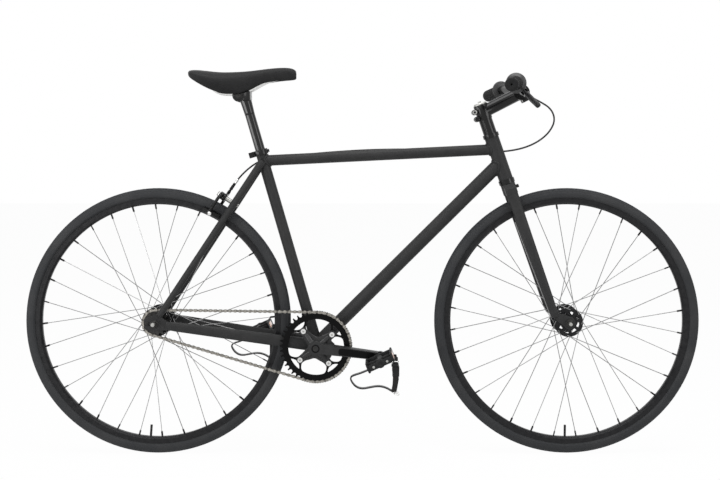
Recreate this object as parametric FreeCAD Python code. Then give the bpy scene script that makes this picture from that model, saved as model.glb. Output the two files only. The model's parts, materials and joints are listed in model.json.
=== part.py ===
import FreeCAD, Part
import math
import os

# Fixed gear bicycle with one rear side-pull brake. Sizes are in millimetres, angles in degrees.
# X points forward, Y to the rider's left, Z up. The origin is on the ground, midway between the axles.

V = FreeCAD.Vector
ACROSS = V(0, 1, 0)
UP = V(0, 0, 1)

# Fits
running_fit = 0.05
slip_fit = 0.1
seat_gap = 0.2

# Wheels
rim_bead_radius = 311.0
rim_flange_height = 6.0
rim_depth = 10.0
rim_width = 22.0
rim_wall = 2.2
rim_floor_width = 9.0
tyre_width = 32.0
tyre_wall = 3.5
tube_wall = 1.0
valve_radius = 3.0
valve_length = 46.0
spoke_count = 32
spoke_crosses = 3
spoke_radius = 1.0
spoke_rim_offset = 2.0
nipple_width = 3.4
nipple_length = 12.0
flange_radius = 37.5
flange_thickness = 3.0
flange_slots = 8
flange_slot_inner = 21.5
flange_slot_height = 6.5
flange_slot_angle = 27.0
spoke_circle_radius = 33.0
hub_barrel_radius = 15.0
hub_bore_radius = 8.0
bearing_radius = 13.0
bearing_width = 8.0
front_flange_spacing = 70.0
rear_flange_spacing = 64.0
front_hub_spacing = 100.0
rear_hub_spacing = 120.0
bearing_inset = 9.5
front_axle_radius = 4.5
rear_axle_radius = 5.0
cone_radius = 8.0
axle_nut_width = 15.0
axle_nut_height = 9.0
nut_flange_radius = 10.5
nut_flange_height = 2.5
axle_end_length = 6.5
axle_stand_proud = 0.5
axle_tip_relief = 0.2
front_valve_turn = -0.8
rear_valve_turn = -3.9

# Frame
wheelbase = 1057.4
bottom_bracket_drop = 62.0
seat_angle = 73.7
head_angle = 71.0
seat_tube_length = 525.0
top_tube_drop = 29.0
seat_tube_radius = 14.3
seat_tube_bore = 12.85
top_tube_radius = 14.0
down_tube_radius = 17.45
frame_wall = 1.2
head_tube_radius = 18.5
head_tube_length = 115.0
top_tube_below_head_top = 33.0
down_tube_above_head_foot = 45.5
shell_radius = 20.0
shell_width = 68.0
shell_bore = 17.3
rear_tyre_gap = 15.0
bridge_tyre_gap = 17.0
bridge_radius = 6.5
seatstay_top_radius = 9.5
seatstay_foot_radius = 8.0
seatstay_top_spread = 19.0
seatstay_foot_setback = 24.0
chainstay_front_height = 32.0
chainstay_rear_height = 23.0
chainstay_width = 15.0
chainstay_front_spread = 21.0
dropout_thickness = 5.0
oval_end_facets = 8
dropout_front_reach = 30.0
dropout_rear_reach = 26.0
dropout_half_height = 17.0

# Fork and steering
fork_rake = 29.0
crown_tyre_gap = 16.0
crown_height = 27.0
crown_radius = 19.0
crown_half_width = 40.0
blade_depth_top = 30.0
blade_depth_foot = 21.0
blade_width_top = 20.0
blade_width_foot = 15.0
blade_foot_height = 30.0
steerer_radius = 14.3
steerer_wall = 2.0
headset_radius = 21.0
headset_skirt = 12.0
lower_stack = 12.0
upper_stack = 10.0
spacer_count = 3
spacer_radius = 17.5
spacer_stack = 39.0
crown_plug_radius = 4.5
crown_plug_length = 7.0

# Cockpit
stem_clamp_height = 40.0
stem_clamp_radius = 19.0
stem_length = 111.0
stem_angle = 27.2
stem_tube_radius = 16.5
bar_clamp_radius = 20.5
bar_clamp_width = 44.0
stem_bolt_radius = 4.2
stem_bolt_setback = 21.5
top_cap_height = 5.0
bar_clamp_zone_radius = 15.9
bar_radius = 11.1
bar_wall = 2.0
bar_centre_half = 50.0
bar_shoulder_half = 160.0
bar_shoulder_sweep = 30.0
bar_shoulder_rise = 16.0
bar_half_width = 290.0
bar_sweep = 57.0
bar_rise = 5.0
bar_bend_radius = 70.0
grip_length = 122.0
grip_radius = 16.5
grip_flange_radius = 25.5
grip_flange_height = 4.0
grip_end_wall = 4.0
faceplate_lug_length = 18.5

# Drivetrain
chain_pitch = 12.7
ring_teeth = 44
cog_teeth = 16
roller_radius = 3.9
pin_radius = 1.8
plate_height = 8.6
plate_thickness = 1.0
inner_plate_gap = 3.3
plate_play = 0.1
chain_line = 43.0
sprocket_thickness = 2.4
tooth_rise = 4.2
tooth_tip_width = 2.6
ring_band = 11.0
ring_strut_width = 7.0
ring_strut_angle = 21.0
bolt_circle_radius = 52.0
bolt_tab_radius = 8.5
ring_bolt_radius = 5.0
ring_bolt_head_radius = 6.4
ring_bolt_head_height = 1.6
spider_arms = 4
spider_thickness = 5.0
spider_root_width = 26.0
spider_tip_width = 13.0
cog_thread_radius = 17.0
lockring_radius = 20.5
lockring_thickness = 4.0
crank_length = 165.0
crank_angle = -6.6
crank_boss_radius = 18.0
crank_eye_radius = 13.0
crank_root_height = 31.0
crank_tip_height = 23.0
crank_inner_offset = 58.0
crank_thickness = 13.0
crank_flare = 7.0
spindle_radius = 8.6
spindle_square = 12.6
crank_bolt_radius = 7.0
crank_bolt_height = 4.0
cup_lip_radius = 21.0
cup_lip_width = 3.0
cup_bearing_width = 9.0

# Pedals, clips and straps
pedal_axle_radius = 6.0
pedal_gap = 3.0
pedal_width = 92.0
pedal_depth = 70.0
pedal_bar_thickness = 5.0
pedal_cage_height = 25.0
pedal_barrel_radius = 10.5
pedal_end_plate = 5.0
pedal_tilt = 24.0
clip_thickness = 1.6
clip_width = 14.0
strap_thickness = 2.4
strap_width = 14.0
reflector_width = 46.0
reflector_height = 14.0
reflector_thickness = 5.0
# Bends of the hanging clip, from its tip back to the cage, measured from the pedal's centre
clip_route = [V(37.6, 0, -72.0), V(18.0, 0, -66.5), V(-8.0, 0, -63.5), V(-36.0, 0, -66.0),
              V(-57.0, 0, -61.0), V(-70.0, 0, -52.0), V(-72.5, 0, -45.5), V(-66.5, 0, -42.0)]
clip_lead = 28.0
# Strap from the cage's front bar to the clip's tip, measured from the pedal's centre
strap_top = 8.0
strap_top_half = 40.0
strap_low_half = 15.0
strap_ahead = 38.0
strap_lean = 0.065

# Seat
seatpost_radius = 12.7
seatpost_wall = 2.4
seatpost_depth = 150.0
seatpost_rise = 664.0
collar_height = 14.0
collar_wall = 4.0
collar_bolt_radius = 3.5
collar_ear_reach = 13.0
collar_ear_width = 16.0
saddle_clamp_radius = 14.5
saddle_clamp_width = 42.0
rail_radius = 3.5
rail_spread = 21.0
rail_rear_reach = 80.0
rail_front_reach = 15.0
rail_rise_reach = 70.0
rail_bend_radius = 60.0
rail_rise = 10.7
saddle_shell = 7.0
saddle_skirt_share = 0.9
# Saddle sections, tail to nose: place along X from the post's top, half width, top and skirt above the rails
saddle_sections = [(-143.0, 50.0, 62.0, 48.0), (-120.0, 70.0, 62.5, 29.0), (-65.0, 66.0, 56.5, 2.0),
                   (-5.0, 40.0, 58.5, -2.0), (43.0, 27.5, 64.0, 26.0), (91.0, 21.5, 69.0, 34.5),
                   (124.0, 18.0, 64.0, 37.0), (135.0, 12.0, 55.0, 41.0)]

# Rear brake
pad_rim_gap = 1.9
pad_height = 9.0
pad_length = 50.0
pad_thickness = 7.0
pad_holder_radius = 4.0
pad_setback = 38.0
arm_thickness = 9.0
arm_width = 13.0
arm_spread = 34.0
arm_hub_radius = 10.0
arm_layer_gap = 0.4
arm_stand_off = 15.0
cable_lug = 30.0
barrel_top = 22.0
barrel_radius = 4.5
pivot_bolt_radius = 3.0
pivot_nut_radius = 6.0
cable_radius = 2.3
lever_clamp_width = 16.0
lever_clamp_radius = 15.0
lever_blade_thickness = 8.0
lever_pivot_radius = 2.5
lever_pivot_drop = 24.0
lever_boss_radius = 7.0
lever_cheek = 4.0
lever_inset = 20.0
lever_droop = 48.0
lever_barrel_reach = 26.0
# Outline of the lever's blade: outwards along the bar and away from it
lever_blade = [(8.0, 20.0), (27.0, 38.5), (56.0, 61.0), (88.0, 82.0), (100.0, 86.5), (101.0, 97.0),
               (88.0, 94.0), (52.0, 73.0), (22.0, 50.0), (3.0, 31.0)]
guide_half_length = 6.0
# Bends of the cable's front loop, from the top tube's front end
cable_loop = [V(102.6, -62.0, 123.7), V(138.6, -38.0, 104.7), V(152.6, -14.0, 75.7), V(141.6, 3.0, 46.7),
              V(116.6, 13.0, 22.7), V(82.6, 20.0, 5.7)]
# Bends along the top tube: share of its length from the front, place to its left and height above its axis
cable_front_run = [(-0.0736, 24.5, -5.5), (-0.0071, 24.5, -7.0), (0.0508, 19.3, -5.3), (0.1004, 18.5, -2.4)]
cable_rear_run = [(0.1664, 17.4, 1.6), (0.2573, 15.6, 6.7), (0.3565, 13.0, 10.9), (0.4558, 11.0, 13.5),
                  (0.5553, 9.8, 15.0), (0.6549, 10.0, 14.4), (0.7545, 11.5, 12.8), (0.8460, 14.2, 9.9),
                  (0.9126, 17.4, 7.2), (0.9459, 21.0, 6.2), (0.9825, 31.5, 4.4), (1.0295, 36.0, -2.2),
                  (1.0775, 34.5, -20.8)]
cable_end_run = 30.0


def direction(angle):
    """Unit vector in the XZ plane, at an angle above +X."""
    turn = math.radians(angle)
    return V(math.cos(turn), 0, math.sin(turn))


def pitch_radius(teeth):
    return chain_pitch / (2 * math.sin(math.pi / teeth))


def loop_length(distance):
    """Links in a chain round both sprockets, for a distance between their centres."""
    step = pitch_radius(ring_teeth) - pitch_radius(cog_teeth)
    lean = math.asin(step / distance) / math.pi
    runs = 2 * math.sqrt(distance**2 - step**2) / chain_pitch
    return runs + ring_teeth * (0.5 + lean) + cog_teeth * (0.5 - lean)


def centre_distance(links):
    """Distance between the sprockets' centres that a chain of so many links fills."""
    low = pitch_radius(ring_teeth)
    high = links * chain_pitch
    while high - low > 1e-9:
        middle = (low + high) / 2
        if loop_length(middle) < links:
            low = middle
        else:
            high = middle
    return low


# Wheel sizes that follow from the rim and the tyre
wheel_radius = rim_bead_radius + tyre_width
rim_flange_radius = rim_bead_radius + rim_flange_height
rim_inner_radius = rim_bead_radius - rim_depth
bead_half_width = rim_width / 2 - rim_wall

# The chain has an even number of links, and the tyre has to clear the seat tube.
wheel_room = wheel_radius + rear_tyre_gap + seat_tube_radius
drop_shift = bottom_bracket_drop * math.cos(math.radians(seat_angle))
shortest_stay = (wheel_room + drop_shift) / math.sin(math.radians(seat_angle))
chain_links = 2 * math.ceil(loop_length(math.hypot(shortest_stay, bottom_bracket_drop)) / 2)
rear_centre = centre_distance(chain_links)

# Points of the frame
rear_hub_centre = V(-wheelbase / 2, 0, wheel_radius)
front_hub_centre = V(wheelbase / 2, 0, wheel_radius)
stay_reach = math.sqrt(rear_centre**2 - bottom_bracket_drop**2)
bracket_centre = rear_hub_centre + V(stay_reach, 0, -bottom_bracket_drop)
seat_dir = direction(180 - seat_angle)
seat_forward = direction(90 - seat_angle)
seat_top = bracket_centre + seat_dir * seat_tube_length
seat_cluster = bracket_centre + seat_dir * (seat_tube_length - top_tube_drop)
stay_dir = (seat_cluster - rear_hub_centre).normalize()
stay_back = V(-stay_dir.z, 0, stay_dir.x)
chainstay_dir = (bracket_centre - rear_hub_centre).normalize()
dropout_middle = rear_hub_spacing / 2 + dropout_thickness / 2

# Heights along the steering axis, from the foot of the front axle's offset
head_dir = direction(180 - head_angle)
head_forward = direction(90 - head_angle)
steering_foot = front_hub_centre - head_forward * fork_rake
crown_bottom = math.sqrt((wheel_radius + crown_tyre_gap) ** 2 - fork_rake**2)
crown_top = crown_bottom + crown_height
head_bottom = crown_top + lower_stack
head_top = head_bottom + head_tube_length
spacer_bottom = head_top + upper_stack
stem_bottom = spacer_bottom + spacer_stack
stem_top = stem_bottom + stem_clamp_height
stem_middle = (stem_bottom + stem_top) / 2


def steering(height):
    """Point on the steering axis."""
    return steering_foot + head_dir * height


top_tube_front = steering(head_top - top_tube_below_head_top)
down_tube_front = steering(head_bottom + down_tube_above_head_foot)
stem_dir = direction(stem_angle)
bar_centre = steering(stem_middle) + stem_dir * stem_length


def group(shapes):
    return Part.makeCompound(shapes)


def mirrored(shape):
    return shape.mirror(V(0, 0, 0), ACROSS)


def pair(shape):
    """A left piece and its mirror image on the right."""
    return group([shape, mirrored(shape)])


def fused(shapes):
    return shapes[0].multiFuse(shapes[1:]).removeSplitter()


def rod(start, end, radius):
    return Part.makeCylinder(radius, (end - start).Length, start, end - start)


def pipe(start, end, outer, inner):
    return rod(start, end, outer).cut(rod(start, end, inner))


def prism(corners, depth):
    """Closed flat outline pushed along a depth vector."""
    return Part.Face(Part.makePolygon(corners + corners[:1])).extrude(depth)


def placed(shape, base, axis):
    """Shape made about the Z axis at the origin, moved onto another axis."""
    shape.Placement = FreeCAD.Placement(base, FreeCAD.Rotation(UP, axis))
    return shape


def spun(outline, base, axis):
    """Closed outline of (radius, height) points turned about an axis through base."""
    corners = [V(radius, 0, height) for radius, height in outline]
    face = Part.Face(Part.makePolygon(corners + corners[:1]))
    return placed(face.revolve(V(0, 0, 0), UP, 360), base, axis)


def sided_bar(start, end, radius, sides):
    """Straight bar with a regular polygon as its section."""
    corners = [V(radius, 0, 0)]
    for side in range(1, sides):
        turn = 2 * math.pi * side / sides
        corners.append(V(radius * math.cos(turn), radius * math.sin(turn), 0))
    return placed(prism(corners, V(0, 0, (end - start).Length)), start, end - start)


def oval(centre, long_half, short_half):
    """Flat-sided oval wire with faceted round ends, from its two half axes, the longer one first."""
    tip = V(long_half).normalize() * short_half.Length
    corners = []
    for end in (1, -1):
        for step in range(oval_end_facets + 1):
            turn = math.pi * (step / oval_end_facets - 0.5)
            corner = long_half - tip + tip * math.cos(turn) + short_half * math.sin(turn)
            corners.append(centre + corner * end)
    return Part.makePolygon(corners + corners[:1])


def rounded_path(points, largest_radius):
    """Straight runs joined by tangent arcs as large as the runs allow, up to a largest radius."""
    edges = []
    start = points[0]
    for before, corner, after in zip(points, points[1:], points[2:]):
        back = before - corner
        ahead = after - corner
        half_turn = (math.pi - back.getAngle(ahead)) / 2
        room = 0.45 * min(back.Length, ahead.Length)
        radius = min(room / math.tan(half_turn), largest_radius)
        trim = radius * math.tan(half_turn)
        back.normalize()
        ahead.normalize()
        inward = (back + ahead).normalize()
        enter = corner + back * trim
        leave = corner + ahead * trim
        middle = corner + inward * (radius / math.cos(half_turn) - radius)
        edges.append(Part.LineSegment(start, enter).toShape())
        edges.append(Part.Arc(enter, middle, leave).toShape())
        start = leave
    edges.append(Part.LineSegment(start, points[-1]).toShape())
    return Part.Wire(edges)


def bent_rod(points, radius, largest_radius):
    """Round bar or tube body swept along a rounded path."""
    path = rounded_path(points, largest_radius)
    ring = Part.Wire(Part.makeCircle(radius, points[0], points[1] - points[0]))
    return path.makePipeShell([ring], True, False)


def tyre_section():
    """Half width of the casing where it passes the rim's flange, and its inner arc's radius."""
    section = tyre_width / 2
    hook_radius = rim_flange_radius + seat_gap
    rise = wheel_radius - section - hook_radius
    shoulder = math.sqrt(section**2 - rise**2)
    depth = wheel_radius - tyre_wall - hook_radius
    inner_half = bead_half_width - tyre_wall
    cavity = (depth**2 + inner_half**2) / (2 * depth)
    return hook_radius, shoulder, inner_half, cavity


def tyre(centre):
    hook_radius, shoulder, inner_half, cavity = tyre_section()
    bead = [V(hook_radius, 0, shoulder), V(hook_radius, 0, bead_half_width)]
    bead += [V(rim_bead_radius, 0, bead_half_width), V(rim_bead_radius, 0, inner_half)]
    bead += [V(hook_radius, 0, inner_half)]
    middle = wheel_radius - tyre_wall - cavity
    for turn in (-45, 0, 45, 80):
        angle = math.radians(turn)
        bead.append(V(middle + cavity * math.sin(angle), 0, cavity * math.cos(angle)))
    far_bead = [V(point.x, 0, -point.z) for point in bead]
    tread = Part.Arc(far_bead[0], V(wheel_radius, 0, 0), bead[0]).toShape()
    inside = Part.makePolygon(bead + far_bead[::-1])
    face = Part.Face(Part.Wire([tread] + inside.Edges))
    return placed(face.revolve(V(0, 0, 0), UP, 360), centre, ACROSS)


def inner_tube(centre, valve_turn):
    """Ring of eight sides inside the casing, with its valve stem towards the hub."""
    hook_radius, shoulder, inner_half, cavity = tyre_section()
    ring_radius = wheel_radius - tyre_wall - cavity
    tube_radius = cavity * math.cos(math.pi / 8) - seat_gap
    outlines = []
    for radius in (tube_radius, tube_radius - tube_wall):
        turns = [math.radians(45 * corner + 22.5) for corner in range(8)]
        outlines.append([(ring_radius + radius * math.cos(a), radius * math.sin(a)) for a in turns])
    ring = spun(outlines[0], centre, ACROSS).cut(spun(outlines[1], centre, ACROSS))
    valve_dir = direction(-90 + valve_turn)
    root = ring_radius - tube_radius * math.cos(math.pi / 8) - seat_gap
    stem = rod(centre + valve_dir * root, centre + valve_dir * (root - valve_length), valve_radius)
    return group([ring, stem])


def rim(centre, valve_turn):
    half = rim_width / 2
    well_half = bead_half_width - tyre_wall - 1
    well_depth = 2.5
    outline = [(rim_flange_radius, half), (rim_inner_radius + rim_depth / 2, half)]
    outline += [(rim_inner_radius, rim_floor_width / 2)]
    hook = [(rim_bead_radius - well_depth, well_half - well_depth), (rim_bead_radius, well_half)]
    hook += [(rim_bead_radius, bead_half_width), (rim_flange_radius, bead_half_width)]
    lower = [(radius, -y) for radius, y in outline[::-1]] + [(radius, -y) for radius, y in hook[::-1]]
    ring = spun(outline + lower + hook, centre, ACROSS)
    valve_dir = direction(-90 + valve_turn)
    hole = rod(centre, centre + valve_dir * rim_flange_radius, valve_radius + slip_fit)
    return ring.cut(hole)


def spoke(centre, flange_y, rim_angle, lead):
    """One spoke of the left flange with its elbow and nipple; lead tells which way it leans."""
    hub_angle = rim_angle - lead * spoke_crosses * 720 / spoke_count
    face_y = flange_y + lead * flange_thickness / 2
    rim_end = direction(rim_angle) * (rim_inner_radius - seat_gap) + ACROSS * spoke_rim_offset
    hole = direction(hub_angle) * spoke_circle_radius
    lean = (face_y - spoke_rim_offset) / (rim_end - hole).Length
    edge_run = math.sqrt(flange_radius**2 - spoke_circle_radius**2) + spoke_radius
    stand_off = spoke_radius + slip_fit + max(0, lead) * lean * edge_run
    hub_end = hole + ACROSS * (face_y + lead * stand_off)
    along = (rim_end - hub_end).normalize()
    wire = sided_bar(hub_end, rim_end - along * seat_gap, spoke_radius, 6)
    elbow = sided_bar(hole + ACROSS * face_y, hub_end + ACROSS * lead * spoke_radius, spoke_radius, 6)
    nipple = sided_bar(rim_end - along * nipple_length, rim_end, nipple_width / math.sqrt(2), 4)
    piece = fused([wire, elbow, nipple])
    piece.translate(centre)
    return piece


def spokes(centre, flange_spacing, valve_turn):
    """Spokes of both flanges, alternating sides round the rim, the valve between two of them."""
    step = 360 / spoke_count
    left = []
    for index in range(2):
        rim_angle = -90 + valve_turn + step / 2 + 2 * step * index
        left.append(spoke(centre, flange_spacing / 2, rim_angle, 1 - 2 * index))
    right = []
    for piece in left:
        copy = mirrored(piece)
        copy.rotate(centre, ACROSS, -step)
        right.append(copy)
    pieces = []
    for turn in range(spoke_count // 4):
        for piece in left + right:
            copy = piece.copy()
            copy.rotate(centre, ACROSS, -4 * step * turn)
            pieces.append(copy)
    return group(pieces)


def flange_slot(flange_y, turn):
    """Curved slot through a hub flange, cut about the Z axis."""
    low = flange_y - flange_thickness
    high = flange_y + flange_thickness
    far = flange_slot_inner + flange_slot_height
    corners = [V(flange_slot_inner, 0, low), V(far, 0, low), V(far, 0, high), V(flange_slot_inner, 0, high)]
    face = Part.Face(Part.makePolygon(corners + corners[:1]))
    face.rotate(V(0, 0, 0), UP, turn)
    return face.revolve(V(0, 0, 0), UP, flange_slot_angle)


def hub(centre, hub_spacing, flange_spacing, end_radius, shoulder_radius, shoulder_y, axle_radius):
    """Hub shell with its two cartridge bearings."""
    half = hub_spacing / 2 - bearing_inset
    inner = flange_spacing / 2 - flange_thickness / 2
    outer = flange_spacing / 2 + flange_thickness / 2
    side = [(hub_barrel_radius, inner), (flange_radius, inner), (flange_radius, outer)]
    side += [(shoulder_radius, outer), (shoulder_radius, shoulder_y), (end_radius, shoulder_y)]
    side += [(end_radius, half), (bearing_radius, half), (bearing_radius, half - bearing_width)]
    side += [(hub_bore_radius, half - bearing_width)]
    outline = side + [(radius, -y) for radius, y in side[::-1]]
    origin = V(0, 0, 0)
    cuts = []
    for slot in range(flange_slots):
        for flange_y in (-flange_spacing / 2, flange_spacing / 2):
            cuts.append(flange_slot(flange_y, 360 * slot / flange_slots))
    shell = placed(spun(outline, origin, UP).cut(cuts), centre, ACROSS)
    bearing = [(axle_radius + running_fit, half), (bearing_radius, half)]
    bearing += [(bearing_radius, half - bearing_width), (axle_radius + running_fit, half - bearing_width)]
    ring = spun(bearing, centre, ACROSS)
    return group([shell, ring, mirrored(ring)])


def axle(centre, hub_spacing, clamp_thickness, radius):
    """Threaded axle with plain tips, and the cones that stand against the dropouts."""
    nut_face = hub_spacing / 2 + clamp_thickness + nut_flange_height + axle_nut_height
    thread = ACROSS * (nut_face + axle_stand_proud)
    tip = thread + ACROSS * axle_end_length
    core = rod(centre - tip, centre + tip, radius - axle_tip_relief)
    inner = hub_spacing / 2 - bearing_inset + seat_gap
    cone = rod(centre + ACROSS * inner, centre + ACROSS * hub_spacing / 2, cone_radius)
    return fused([core, rod(centre - thread, centre + thread, radius), cone, mirrored(cone)])


def axle_nuts(centre, hub_spacing, clamp_thickness, radius):
    """Flanged hexagon nut on each end of an axle."""
    face = centre + ACROSS * (hub_spacing / 2 + clamp_thickness)
    washer = rod(face, face + ACROSS * nut_flange_height, nut_flange_radius)
    top = face + ACROSS * (nut_flange_height + axle_nut_height)
    hexagon = sided_bar(face, top, axle_nut_width / math.sqrt(3), 6)
    nut = fused([washer, hexagon]).cut(rod(face, top, radius))
    return pair(nut)


def seat_tube_body(radius):
    return rod(bracket_centre, seat_top, radius)


def shell_body(radius):
    half = ACROSS * shell_width / 2
    return rod(bracket_centre - half, bracket_centre + half, radius)


def head_tube_body(radius):
    return rod(steering(head_bottom), steering(head_top), radius)


def head_tube():
    return head_tube_body(head_tube_radius).cut(head_tube_body(head_tube_radius - frame_wall))


def top_tube():
    """Top tube mitred to the seat tube and the head tube."""
    body = pipe(seat_cluster, top_tube_front, top_tube_radius, top_tube_radius - frame_wall)
    return body.cut([seat_tube_body(seat_tube_radius), head_tube_body(head_tube_radius)])


def down_tube():
    """Down tube mitred to the head tube, the top tube, the seat tube and the bracket shell."""
    body = pipe(bracket_centre, down_tube_front, down_tube_radius, down_tube_radius - frame_wall)
    top_body = rod(seat_cluster, top_tube_front, top_tube_radius)
    cutters = [shell_body(shell_radius), seat_tube_body(seat_tube_radius), top_body]
    return body.cut(cutters + [head_tube_body(head_tube_radius)])


def seat_tube():
    body = seat_tube_body(seat_tube_radius).cut(shell_body(shell_radius))
    return body.cut(seat_tube_body(seat_tube_bore))


def bottom_bracket_shell():
    return shell_body(shell_radius).cut(shell_body(shell_bore))


def chainstays():
    """Tall oval stays from the bracket shell to the dropouts."""
    upright = V(-chainstay_dir.z, 0, chainstay_dir.x)
    front = bracket_centre - chainstay_dir * (shell_radius / 2) + ACROSS * chainstay_front_spread
    rear = rear_hub_centre + chainstay_dir * dropout_front_reach + ACROSS * dropout_middle
    half_width = ACROSS * chainstay_width / 2
    wires = [oval(front, upright * chainstay_front_height / 2, half_width)]
    wires.append(oval(rear, upright * chainstay_rear_height / 2, half_width))
    stay = Part.makeLoft(wires, True, True)
    stay = stay.cut([shell_body(shell_radius), seat_tube_body(seat_tube_radius)])
    return pair(stay)


def seatstay_point(distance):
    """Point on the left seatstay's axis, at a distance from the axle."""
    whole = (seat_cluster - rear_hub_centre).Length - seatstay_foot_setback
    share = (distance - seatstay_foot_setback) / whole
    spread = dropout_middle + (seatstay_top_spread - dropout_middle) * share
    return rear_hub_centre + stay_dir * distance + ACROSS * spread


def seatstay_body():
    foot = seatstay_point(seatstay_foot_setback)
    top = seatstay_point((seat_cluster - rear_hub_centre).Length)
    length = (top - foot).Length
    return Part.makeCone(seatstay_foot_radius, seatstay_top_radius, length, foot, top - foot)


bridge_centre = rear_hub_centre + stay_dir * (wheel_radius + bridge_tyre_gap)


def seatstays():
    """Both seatstays and the brake bridge between them, bored for the brake's bolt."""
    stay = seatstay_body()
    top_body = rod(seat_cluster, top_tube_front, top_tube_radius)
    left = stay.cut([seat_tube_body(seat_tube_radius), top_body, rear_dropouts()])
    half = ACROSS * dropout_middle
    bridge = rod(bridge_centre - half, bridge_centre + half, bridge_radius)
    reach = stay_back * (bridge_radius * 2)
    hole = rod(bridge_centre - reach, bridge_centre + reach, pivot_bolt_radius)
    bridge = bridge.cut([stay, mirrored(stay), hole])
    middle = min(bridge.Solids, key=lambda solid: abs(solid.CenterOfMass.y))
    return group([left, mirrored(left), middle])


def rear_dropouts():
    """Rear-facing track ends, open behind the axle, between the feet of the stays."""
    upright = V(-chainstay_dir.z, 0, chainstay_dir.x)
    low = rear_hub_centre + ACROSS * rear_hub_spacing / 2
    chainstay_end = low + chainstay_dir * dropout_front_reach
    seatstay_end = low + stay_dir * seatstay_foot_setback
    corners = [chainstay_end - upright * chainstay_rear_height / 2]
    corners.append(chainstay_end + upright * chainstay_rear_height / 2)
    corners.append(seatstay_end - stay_back * seatstay_foot_radius)
    corners.append(seatstay_end + stay_back * seatstay_foot_radius)
    tail = low - V(dropout_rear_reach, 0, 0)
    corners.append(tail + V(0, 0, dropout_half_height - rear_axle_radius))
    corners.append(tail - V(0, 0, dropout_half_height - rear_axle_radius))
    corners.append(low - V(0, 0, dropout_half_height))
    plate = prism(corners, ACROSS * dropout_thickness)
    half_slot = rear_axle_radius + slip_fit
    slot_start = low + V(half_slot, 0, 0)
    through = ACROSS * dropout_thickness
    slot = [tail - V(half_slot, 0, half_slot), slot_start - V(0, 0, half_slot)]
    slot += [slot_start + V(0, 0, half_slot), tail - V(half_slot, 0, -half_slot)]
    cutters = [prism(slot, through), rod(slot_start, slot_start + through, half_slot)]
    return pair(plate.cut(cutters))


def headset_half(base, axis, stack):
    """Bearing cup with its skirt inside the head tube and its bearing on the steerer."""
    bore = steerer_radius + running_fit
    skirt = head_tube_radius - frame_wall
    outline = [(bore, stack), (headset_radius - seat_gap, stack), (headset_radius, stack / 2)]
    outline += [(headset_radius, 0), (skirt, 0), (skirt, -headset_skirt)]
    outline += [(skirt - frame_wall, -headset_skirt), (skirt - frame_wall, 0), (bore, 0)]
    return spun(outline, base, axis)


def headset():
    upper = headset_half(steering(head_top), head_dir, upper_stack)
    lower = headset_half(steering(head_bottom), head_dir * -1, lower_stack - seat_gap)
    return group([upper, lower])


def bottom_bracket_cups():
    """Threaded cups with the spindle's bearings, one in each end of the shell."""
    half = shell_width / 2
    bore = spindle_radius + running_fit
    outline = [(bore, half + cup_lip_width), (cup_lip_radius, half + cup_lip_width)]
    outline += [(cup_lip_radius, half), (shell_bore, half), (shell_bore, half - cup_bearing_width)]
    outline += [(bore, half - cup_bearing_width)]
    return pair(spun(outline, bracket_centre, ACROSS))


def seat_collar():
    """Clamp round the top of the seat tube, with rear ears, their bolt and a front lug."""
    top = seat_top + seat_dir * seat_gap
    foot = seat_top - seat_dir * collar_height
    outer = seat_tube_radius + collar_wall
    ear_start = -seat_forward * seat_tube_radius
    ear_reach = -seat_forward * (collar_wall + collar_ear_reach)
    half = ACROSS * collar_ear_width / 2
    ears = prism([foot + ear_start - half, foot + ear_start + half, top + ear_start + half,
                  top + ear_start - half], ear_reach)
    lug = rod(seat_top - seat_dir * collar_height / 2 + seat_forward * seat_tube_radius,
              seat_top - seat_dir * collar_height / 2 + seat_forward * (outer + collar_wall), collar_wall)
    ring = fused([rod(foot, top, outer), ears, lug])
    bolt_centre = seat_top - seat_dir * collar_height / 2
    bolt_centre -= seat_forward * (outer + collar_ear_reach / 2)
    slit_half = ACROSS * seat_gap * 4
    slit = prism([foot - slit_half, foot + slit_half, top + slit_half, top - slit_half],
                 ear_reach + ear_start)
    bolt_span = ACROSS * (collar_ear_width / 2 + collar_wall)
    bolt = rod(bolt_centre - bolt_span, bolt_centre + bolt_span, collar_bolt_radius)
    ring = ring.cut([rod(foot, top, seat_tube_radius), slit, bolt])
    head = rod(bolt_centre + half, bolt_centre + bolt_span, collar_bolt_radius * 1.6)
    nut = sided_bar(bolt_centre - half, bolt_centre - bolt_span, collar_bolt_radius * 1.7, 6)
    return group([ring, fused([bolt, head, nut])])


def steering_point(forward, across, height):
    """Point by its distance ahead of the steering axis, to the left of it and up along it."""
    return steering(height) + head_forward * forward + ACROSS * across


def fork_steerer():
    """Steerer tube on a crown that spreads to the two blades."""
    back = -blade_depth_top / 2
    outline = [(crown_radius, crown_top), (crown_half_width, (crown_top + crown_bottom) / 2)]
    outline += [(crown_half_width, crown_bottom)]
    outline = outline + [(-y, height) for y, height in outline[::-1]]
    corners = [steering_point(back, y, height) for y, height in outline]
    crown = prism(corners, head_forward * blade_depth_top)
    race = rod(steering(crown_bottom), steering(crown_top), crown_radius)
    steerer = rod(steering(crown_bottom), steering(stem_top), steerer_radius)
    bore = rod(steering(crown_bottom), steering(stem_top), steerer_radius - steerer_wall)
    plug_height = (crown_bottom + crown_top) / 2
    plug_hole = rod(steering_point(steerer_radius - steerer_wall / 2, 0, plug_height),
                    steering_point(crown_radius + 1, 0, plug_height), pivot_bolt_radius)
    return fused([crown, race, steerer]).cut([bore, plug_hole])


def crown_plug():
    """Bolt that closes the brake hole in front of the crown."""
    height = (crown_bottom + crown_top) / 2
    face = steering_point(crown_radius, 0, height)
    head = rod(face, face + head_forward * crown_plug_length, crown_plug_radius)
    shank = rod(steering_point(steerer_radius, 0, height), face, pivot_bolt_radius)
    return fused([head, shank])


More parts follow.
